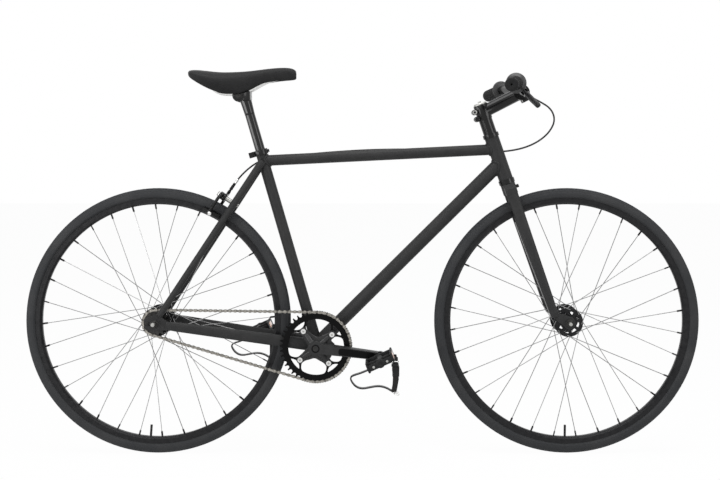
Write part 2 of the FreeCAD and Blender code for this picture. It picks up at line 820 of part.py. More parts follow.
def fork_blades():
    """Straight tapered blades with forward dropouts."""
    middle = front_hub_spacing / 2 + dropout_thickness / 2
    top = steering_point(0, crown_half_width - blade_width_top / 2, crown_bottom)
    foot = steering_point(0, middle, blade_foot_height)
    wires = [oval(top, head_forward * blade_depth_top / 2, ACROSS * blade_width_top / 2)]
    wires.append(oval(foot, head_forward * blade_depth_foot / 2, ACROSS * blade_width_foot / 2))
    blade = Part.makeLoft(wires, True, True)
    inner = front_hub_spacing / 2
    half = blade_depth_foot / 2
    tip = nut_flange_radius + dropout_thickness
    corners = [steering_point(-half, inner, blade_foot_height)]
    corners.append(steering_point(half, inner, blade_foot_height))
    corners.append(steering_point(fork_rake + tip, inner, tip / 2))
    corners.append(steering_point(fork_rake + tip, inner, -tip / 2))
    corners.append(steering_point(fork_rake + tip / 2, inner, -tip))
    corners.append(steering_point(fork_rake - tip / 2, inner, -tip))
    through = ACROSS * dropout_thickness
    plate = prism(corners, through)
    half_slot = front_axle_radius + slip_fit
    slot_corners = []
    for forward, height in ((-half_slot, 0), (half_slot, 0), (half_slot, -2 * tip), (-half_slot, -2 * tip)):
        slot_corners.append(steering_point(fork_rake + forward, inner, height))
    axle_hole = rod(front_hub_centre + ACROSS * inner, front_hub_centre + ACROSS * inner + through, half_slot)
    plate = plate.cut([prism(slot_corners, through), axle_hole])
    return pair(fused([blade, plate]))


def headset_spacers():
    """Stack of rings between the headset and the stem."""
    rings = []
    height = (spacer_stack - seat_gap) / spacer_count
    for index in range(spacer_count):
        low = steering(spacer_bottom + seat_gap + height * index)
        rings.append(pipe(low, low + head_dir * height, spacer_radius, steerer_radius))
    return group(rings)


def bar_clamp_front():
    """Block in front of the handlebar's axis, which parts the faceplate from the stem."""
    size = bar_clamp_radius * 2
    rise = direction(stem_angle + 90) * size
    half = ACROSS * bar_clamp_width
    start = bar_centre + stem_dir * seat_gap
    corners = [start - rise - half, start + rise - half, start + rise + half, start - rise + half]
    return prism(corners, stem_dir * size)


stem_bolt_heights = (stem_middle + stem_bolt_radius * 1.5, stem_middle - stem_bolt_radius * 3)
stem_bolt_half = stem_clamp_radius - stem_bolt_radius / 2


def stem_bolt_shanks():
    """Bolts across the split rear of the steerer clamp."""
    shanks = []
    for height in stem_bolt_heights:
        end = steering_point(-stem_bolt_setback, stem_bolt_half, height)
        shanks.append(rod(mirror_point(end), end, stem_bolt_radius))
    return shanks


def mirror_point(point):
    return V(point.x, -point.y, point.z)


def faceplate_bolt_starts():
    """Where the four faceplate bolts start, behind the handlebar's axis."""
    rise = direction(stem_angle + 90) * (bar_clamp_zone_radius + stem_bolt_radius)
    side = ACROSS * (bar_clamp_width / 2 - stem_bolt_radius * 1.6)
    back = bar_centre - stem_dir * stem_bolt_radius * 2
    return [back + rise + side, back + rise - side, back - rise + side, back - rise - side]


def faceplate_bolts():
    """Bolts that hold the faceplate, with their heads in front of its lugs."""
    bolts = []
    for start in faceplate_bolt_starts():
        face = start + stem_dir * faceplate_lug_length
        head = rod(face, face + stem_dir * stem_bolt_radius, stem_bolt_radius)
        bolts.append(fused([rod(start, face, stem_bolt_radius * 0.7), head]))
    return bolts


def stem():
    """Stem with its steerer clamp, its bored bar clamp and the loose faceplate."""
    clamp = rod(steering(stem_bottom), steering(stem_top), stem_clamp_radius)
    tube = rod(steering(stem_middle), bar_centre, stem_tube_radius)
    half_bar = ACROSS * bar_clamp_width / 2
    bar_clamp = rod(bar_centre - half_bar, bar_centre + half_bar, bar_clamp_radius)
    bosses = []
    for height in stem_bolt_heights:
        end = steering_point(-stem_bolt_setback, stem_bolt_half - stem_bolt_radius, height)
        bosses.append(rod(mirror_point(end), end, stem_bolt_radius * 1.7))
    slit = []
    for forward, across in ((0, -1), (0, 1), (-2 * stem_clamp_radius, 1), (-2 * stem_clamp_radius, -1)):
        slit.append(steering_point(forward, across, stem_bottom))
    split = prism(slit, head_dir * stem_clamp_height)
    lugs = []
    for start in faceplate_bolt_starts():
        lugs.append(rod(start, start + stem_dir * faceplate_lug_length, stem_bolt_radius * 1.5))
    body = fused([clamp, tube, bar_clamp] + bosses + lugs)
    steerer_hole = rod(steering(stem_bottom), steering(stem_top), steerer_radius)
    bar_hole = rod(bar_centre - half_bar, bar_centre + half_bar, bar_clamp_zone_radius)
    body = body.cut([steerer_hole, bar_hole, split] + stem_bolt_shanks() + faceplate_bolts())
    front = bar_clamp_front()
    return group([body.cut(front), body.common(front)])


def stem_bolts():
    """Clamp bolts and faceplate bolts with their heads, and the top cap with its bolt."""
    pieces = []
    for height, shank in zip(stem_bolt_heights, stem_bolt_shanks()):
        end = steering_point(-stem_bolt_setback, -stem_bolt_half, height)
        half = ACROSS * stem_bolt_radius
        pieces.append(fused([shank, rod(end - half, end + half, stem_bolt_radius * 1.4)]))
    pieces += faceplate_bolts()
    top = steering(stem_top)
    outline = [(0, 0), (spacer_radius, 0), (spacer_radius, top_cap_height / 2)]
    outline += [(spacer_radius - top_cap_height / 2, top_cap_height), (0, top_cap_height)]
    pieces.append(spun(outline, top, head_dir))
    cap_face = top + head_dir * top_cap_height
    pieces.append(rod(cap_face, cap_face + head_dir * stem_bolt_radius, stem_bolt_radius))
    return group(pieces)


bar_shoulder = V(-bar_shoulder_sweep, bar_shoulder_half, bar_shoulder_rise)
bar_end = V(-bar_sweep, bar_half_width, bar_rise)


def bar_points():
    """Left half of the handlebar's bends, from its end to its centre."""
    return [bar_centre + bar_end, bar_centre + bar_shoulder, bar_centre + ACROSS * bar_centre_half]


def handlebar():
    """Swept tube with a thicker centre where the stem grips it."""
    left = bar_points()
    points = left + [mirror_point(point) for point in left[::-1]]
    half = ACROSS * bar_centre_half * 0.7
    centre = rod(bar_centre - half, bar_centre + half, bar_clamp_zone_radius)
    body = fused([bent_rod(points, bar_radius, bar_bend_radius), centre])
    return body.cut(bent_rod(points, bar_radius - bar_wall, bar_bend_radius))


def grips():
    """Rubber grips with a wide inner flange and a closed end."""
    axis = (bar_end - bar_shoulder).normalize()
    base = bar_centre + bar_end - axis * grip_length
    closed = grip_length + grip_end_wall
    outline = [(bar_radius, 0), (grip_flange_radius, 0), (grip_flange_radius, grip_flange_height)]
    outline += [(grip_radius, grip_flange_height * 3), (grip_radius, closed - grip_end_wall)]
    outline += [(grip_radius - grip_end_wall, closed), (0, closed), (0, grip_length)]
    outline.append((bar_radius, grip_length))
    return pair(spun(outline, base, axis))


def roller_places():
    """Centres of the chain's rollers, with the tooth gaps' first angles on the ring and the cog."""
    ring_radius = pitch_radius(ring_teeth)
    cog_radius = pitch_radius(cog_teeth)
    line = bracket_centre - rear_hub_centre
    heading = math.degrees(math.atan2(line.z, line.x))
    lean = math.degrees(math.asin((ring_radius - cog_radius) / rear_centre))
    upper = heading + 90 + lean
    lower = heading - 90 - lean
    run = math.sqrt(rear_centre**2 - (ring_radius - cog_radius) ** 2) / chain_pitch
    ring_arc = ring_teeth * (180 + 2 * lean) / 360
    along = direction(upper - 90)
    back = direction(lower - 90)
    places = []
    ring_gap = None
    cog_gap = None
    for link in range(chain_links):
        if link < run:
            place = rear_hub_centre + direction(upper) * cog_radius + along * (link * chain_pitch)
        elif link < run + ring_arc:
            angle = upper - (link - run) * 360 / ring_teeth
            ring_gap = angle
            place = bracket_centre + direction(angle) * ring_radius
        elif link < 2 * run + ring_arc:
            travel = (link - run - ring_arc) * chain_pitch
            place = bracket_centre + direction(lower) * ring_radius + back * travel
        else:
            angle = lower - (link - 2 * run - ring_arc) * 360 / cog_teeth
            cog_gap = angle
            place = rear_hub_centre + direction(angle) * cog_radius
        places.append(place - ACROSS * chain_line)
    return places, ring_gap, cog_gap


def chain_plate(inner_y):
    """Link plate with its two eyes as half octagons, from the first pin's axis along +X."""
    half = plate_height / 2
    corners = []
    for end, first in ((0, 112.5), (chain_pitch, -67.5)):
        for step in range(4):
            corner = direction(first + 45 * step) * (half / math.cos(math.pi / 8))
            corners.append(V(end, inner_y, 0) + corner)
    return prism(corners, ACROSS * plate_thickness)


def across_bar(x, half_length, radius, sides):
    return sided_bar(V(x, -half_length, 0), V(x, half_length, 0), radius, sides)


def inner_link():
    """Two inner plates on a pair of bored rollers."""
    near = inner_plate_gap / 2
    plates = [chain_plate(near), chain_plate(-near - plate_thickness)]
    rollers = [across_bar(x, near, roller_radius, 8) for x in (0, chain_pitch)]
    reach = near + plate_thickness
    bore = (pin_radius + slip_fit) / math.cos(math.pi / 6)
    bores = [across_bar(x, reach, bore, 6) for x in (0, chain_pitch)]
    return fused(plates + rollers).cut(bores)


def outer_link():
    """Two outer plates on a pair of pins."""
    near = inner_plate_gap / 2 + plate_thickness + plate_play
    plates = [chain_plate(near), chain_plate(-near - plate_thickness)]
    pins = [across_bar(x, near + plate_thickness / 2, pin_radius, 6) for x in (0, chain_pitch)]
    return fused(plates + pins)


def chain():
    """Closed roller chain, its links laid from roller to roller round both sprockets."""
    places = roller_places()[0]
    links = (inner_link(), outer_link())
    pieces = []
    for index, place in enumerate(places):
        ahead = places[(index + 1) % len(places)] - place
        piece = links[index % 2].copy()
        turn = math.degrees(math.atan2(ahead.z, ahead.x))
        piece.Placement = FreeCAD.Placement(place, FreeCAD.Rotation(ACROSS, -turn))
        pieces.append(piece)
    return group(pieces)


def toothed_disc(centre, teeth, first_gap):
    """Sprocket blank whose tooth gaps seat the chain's rollers."""
    radius = pitch_radius(teeth)
    seat = roller_radius + slip_fit
    outer = radius + tooth_rise
    step = 360 / teeth
    tip_half = math.degrees(tooth_tip_width / 2 / outer)
    low = centre - ACROSS * (chain_line + sprocket_thickness / 2)
    edges = []
    for gap in range(teeth):
        angle = first_gap + gap * step
        middle = low + direction(angle) * radius
        enter = middle + direction(angle + 180 + 70) * seat
        bottom = middle - direction(angle) * seat
        leave = middle + direction(angle + 180 - 70) * seat
        tip = [leave, low + direction(angle + step / 2 - tip_half) * outer]
        tip.append(low + direction(angle + step / 2 + tip_half) * outer)
        tip.append(low + direction(angle + step) * radius + direction(angle + step + 180 + 70) * seat)
        edges.append(Part.Arc(enter, bottom, leave).toShape())
        edges += Part.makePolygon(tip).Edges
    return Part.Face(Part.Wire(edges)).extrude(ACROSS * sprocket_thickness)


def spider_angle(index):
    return crank_angle + 180 / spider_arms + 360 * index / spider_arms


def ring_bolt_centres():
    return [bracket_centre + direction(spider_angle(i)) * bolt_circle_radius for i in range(spider_arms)]


def beam(start, end, start_width, end_width, depth):
    """Tapered flat bar between two points in an XZ plane."""
    aside = (end - start).cross(ACROSS).normalize()
    corners = [start - aside * start_width / 2, start + aside * start_width / 2]
    corners += [end + aside * end_width / 2, end - aside * end_width / 2]
    return prism(corners, depth)


def chainring():
    """Toothed ring with bolt tabs, each held by two struts round an open window."""
    disc = toothed_disc(bracket_centre, ring_teeth, roller_places()[1])
    low = bracket_centre - ACROSS * (chain_line + sprocket_thickness / 2)
    through = ACROSS * sprocket_thickness
    band_radius = pitch_radius(ring_teeth) - roller_radius - ring_band
    pieces = [disc.cut(rod(low, low + through, band_radius))]
    holes = []
    for index in range(spider_arms):
        angle = spider_angle(index)
        tab = low + direction(angle) * bolt_circle_radius
        pieces.append(rod(tab, tab + through, bolt_tab_radius))
        holes.append(rod(tab, tab + through, ring_bolt_radius))
        for lean in (-ring_strut_angle, ring_strut_angle):
            root = low + direction(angle + lean) * (band_radius + ring_band / 2)
            pieces.append(beam(tab, root, ring_strut_width, ring_strut_width, through))
    return fused(pieces).cut(holes)


spider_face = chain_line + sprocket_thickness / 2


def chainring_bolts():
    """Bolts and sleeve nuts through the ring and the spider."""
    bolts = []
    for centre in ring_bolt_centres():
        inner = centre - ACROSS * (spider_face - sprocket_thickness)
        outer = centre - ACROSS * (spider_face + spider_thickness)
        head = rod(outer, outer - ACROSS * ring_bolt_head_height, ring_bolt_head_radius)
        nut = rod(inner, inner + ACROSS * ring_bolt_head_height, ring_bolt_head_radius)
        bolts.append(fused([rod(inner, outer, ring_bolt_radius), head, nut]))
    return group(bolts)


def square_bar(start_y, end_y):
    """Square drive of the crank spindle."""
    start = bracket_centre + ACROSS * start_y
    return sided_bar(start, bracket_centre + ACROSS * end_y, spindle_square / math.sqrt(2), 4)


crank_outer = crank_inner_offset + crank_thickness
spindle_round_half = shell_width / 2 + cup_lip_width + seat_gap * 5
spindle_half = crank_outer - crank_bolt_height


def crank_spindle():
    half = ACROSS * spindle_round_half
    body = rod(bracket_centre - half, bracket_centre + half, spindle_radius)
    drive = square_bar(spindle_round_half, spindle_half)
    return fused([body, drive, mirrored(drive)])


def crank_arm(side, angle):
    """Tapered arm from the spindle to the pedal's eye, flaring outwards; side is 1 on the left."""
    eye = bracket_centre + direction(angle) * crank_length
    inner = crank_inner_offset
    foot = inner + crank_flare
    aside = direction(angle + 90)
    wires = []
    for centre, height, low in ((bracket_centre, crank_root_height, inner), (eye, crank_tip_height, foot)):
        near = centre + ACROSS * side * low
        far = centre + ACROSS * side * (low + crank_thickness)
        half = aside * height / 2
        corners = [near - half, near + half, far + half * 0.8, far - half * 0.8]
        wires.append(Part.makePolygon(corners + corners[:1]))
    arm = Part.makeLoft(wires, True, True)
    boss = rod(bracket_centre + ACROSS * side * (spindle_round_half + seat_gap),
               bracket_centre + ACROSS * side * crank_outer, crank_boss_radius)
    tip = rod(eye + ACROSS * side * foot, eye + ACROSS * side * (foot + crank_thickness), crank_eye_radius)
    return [arm, boss, tip], eye


def crank_holes(side, eye):
    deep = ACROSS * side
    socket = rod(bracket_centre + deep * spindle_half, bracket_centre + deep * crank_outer, crank_bolt_radius)
    start = spindle_round_half * side
    drive = square_bar(start, spindle_half * side)
    foot = crank_inner_offset + crank_flare
    thread = rod(eye + deep * foot, eye + deep * (foot + crank_thickness), pedal_axle_radius)
    return [socket, drive, thread]


def right_crank():
    """Right arm with the four-armed spider that carries the chainring."""
    pieces, eye = crank_arm(-1, crank_angle)
    holes = crank_holes(-1, eye)
    face = -ACROSS * (spider_face + spider_thickness)
    through = ACROSS * spider_thickness
    for centre in ring_bolt_centres():
        root = bracket_centre + face
        tab = centre + face
        pieces.append(beam(root, tab, spider_root_width, spider_tip_width, through))
        pieces.append(rod(tab, tab + through, bolt_tab_radius))
        holes.append(rod(tab, tab + through, ring_bolt_radius))
    return fused(pieces).cut(holes)


def left_crank():
    pieces, eye = crank_arm(1, crank_angle + 180)
    return fused(pieces).cut(crank_holes(1, eye))


def crank_bolts():
    """Bolt in the end of the spindle, under its round cap."""
    start = bracket_centre + ACROSS * spindle_half
    return pair(rod(start, start + ACROSS * crank_bolt_height, crank_bolt_radius))


def rear_cog():
    """Fixed cog on the hub's thread, held by its lockring."""
    disc = toothed_disc(rear_hub_centre, cog_teeth, roller_places()[2])
    low = rear_hub_centre - ACROSS * (chain_line + sprocket_thickness / 2)
    through = ACROSS * sprocket_thickness
    disc = disc.cut(rod(low, low + through, cog_thread_radius))
    ring = pipe(low, low - ACROSS * lockring_thickness, lockring_radius, cog_thread_radius)
    notches = []
    for index in range(3):
        centre = low + direction(120 * index) * lockring_radius
        notches.append(rod(centre, centre - ACROSS * lockring_thickness, lockring_thickness / 2))
    return group([disc, ring.cut(notches)])


pedal_start = crank_inner_offset + crank_flare + crank_thickness + pedal_gap
pedal_middle = pedal_start + pedal_width / 2


def pedal_eye(side):
    return bracket_centre + direction(crank_angle + 90 + 90 * side) * crank_length


def pedal_axles():
    axles = []
    for side in (-1, 1):
        start = pedal_eye(side) + ACROSS * side * (crank_inner_offset + crank_flare)
        end = pedal_eye(side) + ACROSS * side * (pedal_start + pedal_width - pedal_end_plate)
        axles.append(rod(start, end, pedal_axle_radius))
    return group(axles)


def pedal_point(side, ahead, rise, out):
    """Point by its place along the tilted pedal, above it and outwards from its inner end."""
    flat = direction(pedal_tilt) * ahead + direction(pedal_tilt + 90) * rise
    return pedal_eye(side) + flat + ACROSS * side * (pedal_start + out)


def pedal_block(side, ahead, rise, out):
    """Block of a tilted pedal between three pairs of limits."""
    corners = [pedal_point(side, ahead[0], rise[0], out[0]), pedal_point(side, ahead[1], rise[0], out[0])]
    corners += [pedal_point(side, ahead[1], rise[1], out[0]), pedal_point(side, ahead[0], rise[1], out[0])]
    return prism(corners, ACROSS * side * (out[1] - out[0]))


def pedal_body(side):
    """Barrel on the axle, inside a cage of front and rear plates, with a rear reflector."""
    half_depth = pedal_depth / 2
    half_height = pedal_cage_height / 2
    barrel = rod(pedal_point(side, 0, 0, 0), pedal_point(side, 0, 0, pedal_width), pedal_barrel_radius)
    whole = (0, pedal_width)
    bar = pedal_bar_thickness
    pieces = [barrel]
    pieces.append(pedal_block(side, (half_depth - bar, half_depth), (-half_height, half_height), whole))
    pieces.append(pedal_block(side, (-half_depth, bar - half_depth), (-half_height, half_height), whole))
    for out in ((0, pedal_end_plate), (pedal_width - pedal_end_plate, pedal_width)):
        pieces.append(pedal_block(side, (-half_depth, half_depth), (-half_height / 2, half_height / 2), out))
    blind = pedal_width - pedal_end_plate + seat_gap
    bore = rod(pedal_point(side, 0, 0, 0), pedal_point(side, 0, 0, blind), pedal_axle_radius + running_fit)
    middle = pedal_width / 2
    sides = (middle - reflector_width / 2, middle + reflector_width / 2)
    rear = (-half_depth - reflector_thickness, -half_depth)
    reflector = pedal_block(side, rear, (-reflector_height / 2, reflector_height / 2), sides)
    return group([fused(pieces).cut(bore), reflector])


def band(points, width, thickness):
    """Flat strip swept along a path in an XZ plane."""
    path = rounded_path(points, pedal_depth)
    aside = (points[1] - points[0]).cross(ACROSS).normalize() * thickness / 2
    across = ACROSS * width / 2
    start = points[0]
    corners = [start - aside - across, start + aside - across, start + aside + across, start - aside + across]
    return path.makePipeShell([Part.makePolygon(corners + corners[:1])], True, False)


def toe_clip(side):
    """Steel strip from the rear of the cage round the toe to a tip below the pedal's front."""
    centre = pedal_eye(side) + ACROSS * side * pedal_middle
    rise = -pedal_cage_height / 2 - clip_thickness / 2 - seat_gap
    hold = pedal_point(side, pedal_bar_thickness - pedal_depth / 2, rise, pedal_width / 2)
    lead = pedal_point(side, -pedal_depth / 2 - clip_lead, rise, pedal_width / 2)
    route = [centre + point for point in clip_route] + [lead, hold]
    return band(route, clip_width, clip_thickness)


def toe_strap(side):
    """Strap from the cage's front bar down both sides of the toe and across below the clip's tip."""
    centre = pedal_eye(side) + ACROSS * side * pedal_middle
    foot = clip_route[0].z - clip_thickness / 2 - seat_gap - strap_thickness
    outline = [(strap_top_half, strap_top), (strap_low_half, foot)]
    outline += [(-y, z) for y, z in reversed(outline)]
    inside = [(strap_top_half - strap_thickness, strap_top)]
    inside.append((strap_low_half - strap_thickness, foot + strap_thickness))
    inside += [(-y, z) for y, z in reversed(inside)]
    rear = strap_ahead - strap_width / 2
    corners = [centre + V(rear + strap_lean * z, y, z) for y, z in outline + inside[::-1]]
    return prism(corners, V(strap_width, 0, 0)).cut(pedal_body(side))


seatpost_top = bracket_centre + seat_dir * seatpost_rise
rail_height = seatpost_top.z + rail_rise
saddle_clamp_centre = V(seatpost_top.x - saddle_clamp_radius, 0, rail_height)


def seatpost():
    foot = seat_top - seat_dir * seatpost_depth
    return pipe(foot, seatpost_top, seatpost_radius, seatpost_radius - seatpost_wall)


def saddle_wire(x, half, top, skirt):
    """Cross section with a crowned top, sides and a flat underside."""
    top = rail_height + top
    skirt = rail_height + skirt
    brow = top - (top - skirt) * 0.45
    place = seatpost_top.x + x
    left = V(place, -half, brow)
    right = V(place, half, brow)
    crown = Part.Arc(left, V(place, 0, top), right).toShape()
    low = half * saddle_skirt_share
    sides = Part.makePolygon([right, V(place, low, skirt), V(place, -low, skirt), left])
    return Part.Wire([crown] + sides.Edges)


def saddle():
    """Padded shell, crowned above and hollow below, with sockets for the rails' ends."""
    outer = [saddle_wire(*section) for section in saddle_sections]
    hollow = []
    for x, half, top, skirt in saddle_sections[1:-1]:
        hollow.append(saddle_wire(x, half - saddle_shell, top - saddle_shell, skirt - saddle_shell))
    body = Part.makeLoft(outer, True, True)
    shell = body.cut(Part.makeLoft(hollow, True, True))
    points = rail_points()
    pieces = [shell]
    for end, before in ((points[0], points[1]), (points[-1], points[-2])):
        along = (end - before).normalize() * saddle_shell
        pieces.append(pair(rod(end - along, end + along * 3, rail_radius * 2)).common(body))
    return fused(pieces).cut(pair(bent_rod(points, rail_radius + seat_gap, rail_bend_radius)))


def rail_points():
    """Left saddle rail from the tail of the shell to its nose."""
    x = seatpost_top.x
    tail_x, tail_half, tail_top, tail_skirt = saddle_sections[1]
    nose_x, nose_half, nose_top, nose_skirt = saddle_sections[-2]
    tail = V(x + tail_x + rail_radius * 2, rail_spread + rail_radius, rail_height + tail_top - saddle_shell * 3)
    nose_side = (nose_half - saddle_shell) * saddle_skirt_share - rail_radius * 1.2
    nose_foot = rail_height + nose_skirt
    nose = V(x + nose_x - rail_radius, nose_side, nose_foot + rail_radius)
    low_rear = V(x - rail_rear_reach, rail_spread, rail_height)
    low_front = V(x + rail_front_reach, rail_spread, rail_height)
    rise = V(x + rail_rise_reach, (rail_spread + nose_side) / 2 - rail_radius, nose_foot - rail_radius * 2)
    return [tail, low_rear, low_front, rise, nose]


def saddle_rails():
    return pair(bent_rod(rail_points(), rail_radius, rail_bend_radius))


def saddle_clamp():
    """Clamp on the post's top with round cheeks that grip the rails."""
    collar_foot = seatpost_top - seat_dir * saddle_clamp_radius * 2
    collar = rod(collar_foot, seatpost_top, seatpost_radius + collar_wall)
    half = ACROSS * saddle_clamp_width / 2
    cheeks = rod(saddle_clamp_centre - half, saddle_clamp_centre + half, saddle_clamp_radius)
    bolt_half = half + ACROSS * collar_wall
    bolt = rod(saddle_clamp_centre - bolt_half, saddle_clamp_centre + bolt_half, collar_bolt_radius * 1.7)
    reach = V(saddle_clamp_radius * 4, 0, 0)
    rails = []
    for side in (-1, 1):
        middle = V(saddle_clamp_centre.x, side * rail_spread, rail_height)
        rails.append(rod(middle - reach, middle + reach, rail_radius))
    body = fused([collar, cheeks, bolt])
    return body.cut([rod(collar_foot, seatpost_top, seatpost_radius)] + rails)


arm_start = bridge_radius * 2 + arm_stand_off
pad_radius = (rim_flange_radius + rim_inner_radius + rim_depth / 2) / 2
pad_drop = wheel_radius + bridge_tyre_gap - math.sqrt(pad_radius**2 - pad_setback**2)


def brake_point(across, up, back):
    """Point by its place to the left of the brake's bolt, up along the stays and behind the bridge."""
    return bridge_centre + ACROSS * across + stay_dir * up + stay_back * back


def arm_bar(start, end, back):
    """Flat bar of a brake arm between two (across, up) points."""
    first = brake_point(start[0], start[1], back)
    last = brake_point(end[0], end[1], back)
    aside = (last - first).cross(stay_back).normalize() * arm_width / 2
    along = (last - first).normalize() * arm_width / 2
    corners = [first - aside, first + aside, last + aside + along, last - aside + along]
    return prism(corners, stay_back * arm_thickness)


def brake_pad(side):
    """Rubber block beside the rim and the post that carries it."""
    centre = brake_point(0, -pad_drop, pad_setback)
    radial = (centre - rear_hub_centre).normalize()
    along = radial.cross(ACROSS) * pad_length / 2
    rise = radial * pad_height / 2
    start = centre + ACROSS * side * (rim_width / 2 + pad_rim_gap)
    corners = [start - along - rise, start + along - rise, start + along + rise, start - along + rise]
    block = prism(corners, ACROSS * side * pad_thickness)
    post_start = start + ACROSS * side * pad_thickness
    post_end = centre + ACROSS * side * (arm_spread + arm_width / 2 + pad_holder_radius)
    return block, rod(post_start, post_end, pad_holder_radius)


def caliper_arm(side, layer):
    """Side-pull arm: hub on the bolt, leg down to its pad, and a lug for the cable on the left."""
    back = arm_start + layer * (arm_thickness + arm_layer_gap)
    hub_foot = brake_point(0, 0, back)
    hub_top = brake_point(0, 0, back + arm_thickness)
    shoulder = (side * arm_spread, 0)
    foot = (side * arm_spread, -pad_drop)
    lug_end = (cable_lug, arm_width / 2 if side > 0 else -arm_width / 2)
    pieces = [rod(hub_foot, hub_top, arm_hub_radius), arm_bar((0, 0), shoulder, back)]
    pieces.append(arm_bar(shoulder, foot, back))
    pieces.append(arm_bar((0, 0), lug_end, back))
    middle = back + arm_thickness / 2
    if side > 0:
        barrel_foot = brake_point(cable_lug, 0, middle)
        pieces.append(rod(barrel_foot, brake_point(cable_lug, barrel_top, middle), barrel_radius))
    else:
        anchor = brake_point(cable_lug, -arm_width / 2, middle)
        pieces.append(rod(anchor, anchor + stay_back * arm_thickness, barrel_radius))
    block, post = brake_pad(side)
    pieces.append(post)
    boss_low = min(back, pad_setback - pad_holder_radius)
    boss_high = max(back + arm_thickness, pad_setback + pad_holder_radius)
    pieces.append(rod(brake_point(*foot, boss_low), brake_point(*foot, boss_high), arm_width / 2))
    bore = rod(hub_foot, hub_top, pivot_bolt_radius + running_fit)
    return group([fused(pieces).cut(bore), block])


def brake_pivot_bolt():
    """Bolt through the bridge with its spacer, nut and front washer."""
    end_back = arm_start + 2 * arm_thickness + arm_layer_gap + seat_gap
    front = brake_point(0, 0, -bridge_radius - seat_gap)
    end = brake_point(0, 0, end_back)
    bolt = rod(front, end, pivot_bolt_radius)
    spacer = rod(brake_point(0, 0, bridge_radius), brake_point(0, 0, arm_start - seat_gap), pivot_nut_radius)
    nut = sided_bar(end, end + stay_back * pivot_nut_radius, pivot_nut_radius, 6)
    washer = rod(front, front - stay_back * pivot_nut_radius / 2, pivot_nut_radius)
    bridge = rod(bridge_centre - ACROSS * arm_spread, bridge_centre + ACROSS * arm_spread, bridge_radius)
    spacer = spacer.cut(bridge)
    return fused([bolt, spacer, nut, washer])


# Lever frame on the right half of the handlebar
bar_run = (bar_shoulder - ACROSS * bar_centre_half).normalize()
lever_out = mirror_point(bar_run)
lever_clamp_centre = bar_centre + mirror_point(bar_shoulder) - lever_out * lever_inset
lever_tilt = direction(-lever_droop)
lever_down = (lever_tilt - lever_out * lever_tilt.dot(lever_out)).normalize()
lever_axis = lever_out.cross(lever_down)


def lever_point(out, down, aside):
    """Point by its place along the bar outwards, away from it and across the lever."""
    return lever_clamp_centre + lever_out * out + lever_down * down + lever_axis * aside


def lever_plate(outline, low, high):
    """Flat outline of (out, down) points in the lever's plane."""
    corners = [lever_point(out, down, low) for out, down in outline]
    return prism(corners, lever_axis * (high - low))


def brake_lever_bracket():
    """Bar clamp with two cheeks, the lever's pin and the cable's barrel."""
    half = lever_clamp_width / 2
    ring = rod(lever_point(-half, 0, 0), lever_point(half, 0, 0), lever_clamp_radius)
    inner = lever_blade_thickness / 2 + slip_fit * 3
    outer = inner + lever_cheek
    foot = lever_pivot_drop + half
    outline = [(-half, 0), (half, 0), (half, foot), (-half, foot)]
    pieces = [ring, lever_plate(outline, inner, outer), lever_plate(outline, -outer, -inner)]
    wall = [(-half - lever_cheek, lever_clamp_radius), (-half, lever_clamp_radius), (-half, foot)]
    pieces.append(lever_plate(wall + [(-half - lever_cheek, foot)], -outer, outer))
    pieces.append(lever_plate([(-half - lever_cheek, 0), (0, 0), (0, lever_clamp_radius),
                               (-half - lever_cheek, lever_clamp_radius)], -outer, outer))
    pieces.append(rod(lever_point(0, lever_pivot_drop, -outer), lever_point(0, lever_pivot_drop, outer),
                      lever_pivot_radius))
    barrel_end = cable_front_route()[0] + lever_out * seat_gap
    pieces.append(rod(lever_point(-half, lever_pivot_drop, 0), barrel_end, barrel_radius))
    bar = rod(lever_point(-half * 2, 0, 0), lever_point(half * 2, 0, 0), bar_radius)
    return fused(pieces).cut(bar)


def brake_lever():
    """Short lever blade on its pin between the bracket's cheeks."""
    half = lever_blade_thickness / 2
    blade = lever_plate(lever_blade, -half, half)
    boss = rod(lever_point(0, lever_pivot_drop, -half), lever_point(0, lever_pivot_drop, half),
               lever_boss_radius)
    bore = rod(lever_point(0, lever_pivot_drop, -half), lever_point(0, lever_pivot_drop, half),
               lever_pivot_radius + running_fit)
    return fused([blade, boss]).cut(bore)


def top_tube_point(share, across, rise):
    """Point by its share of the top tube's length, its place to the left and its height above the axis."""
    line = seat_cluster - top_tube_front
    upright = ACROSS.cross(line).normalize()
    return top_tube_front + line * share + ACROSS * across + upright * rise


def cable_front_route():
    """Brake cable from the lever's barrel, looping ahead of the head tube to its left side."""
    start = lever_point(-lever_barrel_reach, lever_pivot_drop, 0)
    lead = [start, start - lever_out * lever_barrel_reach]
    loop = [top_tube_front + bend for bend in cable_loop]
    return lead + loop + [top_tube_point(*bend) for bend in cable_front_run]


def cable_rear_route():
    """Brake cable from the front guide over the far side of the top tube and down to the caliper."""
    run = [top_tube_point(*bend) for bend in cable_front_run[-1:] + cable_rear_run]
    end = brake_point(cable_lug, barrel_top + seat_gap, arm_start + arm_thickness / 2)
    return run + [end + stay_dir * cable_end_run, end]


def cable_body(route, radius):
    return bent_rod(route, radius, wheel_radius)


def cable_guides():
    """Brazed stops that hold the cable on the far side of the top tube."""
    routes = (cable_front_route(), cable_rear_route())
    cutters = [cable_body(route, cable_radius + slip_fit) for route in routes]
    cutters.append(rod(seat_cluster, top_tube_front, top_tube_radius))
    guides = []
    for before, point, after in (routes[0][-2:] + routes[1][1:2], routes[1][8:11]):
        along = (after - before).normalize() * guide_half_length
        guides.append(rod(point - along, point + along, barrel_radius).cut(cutters))
    return group(guides)


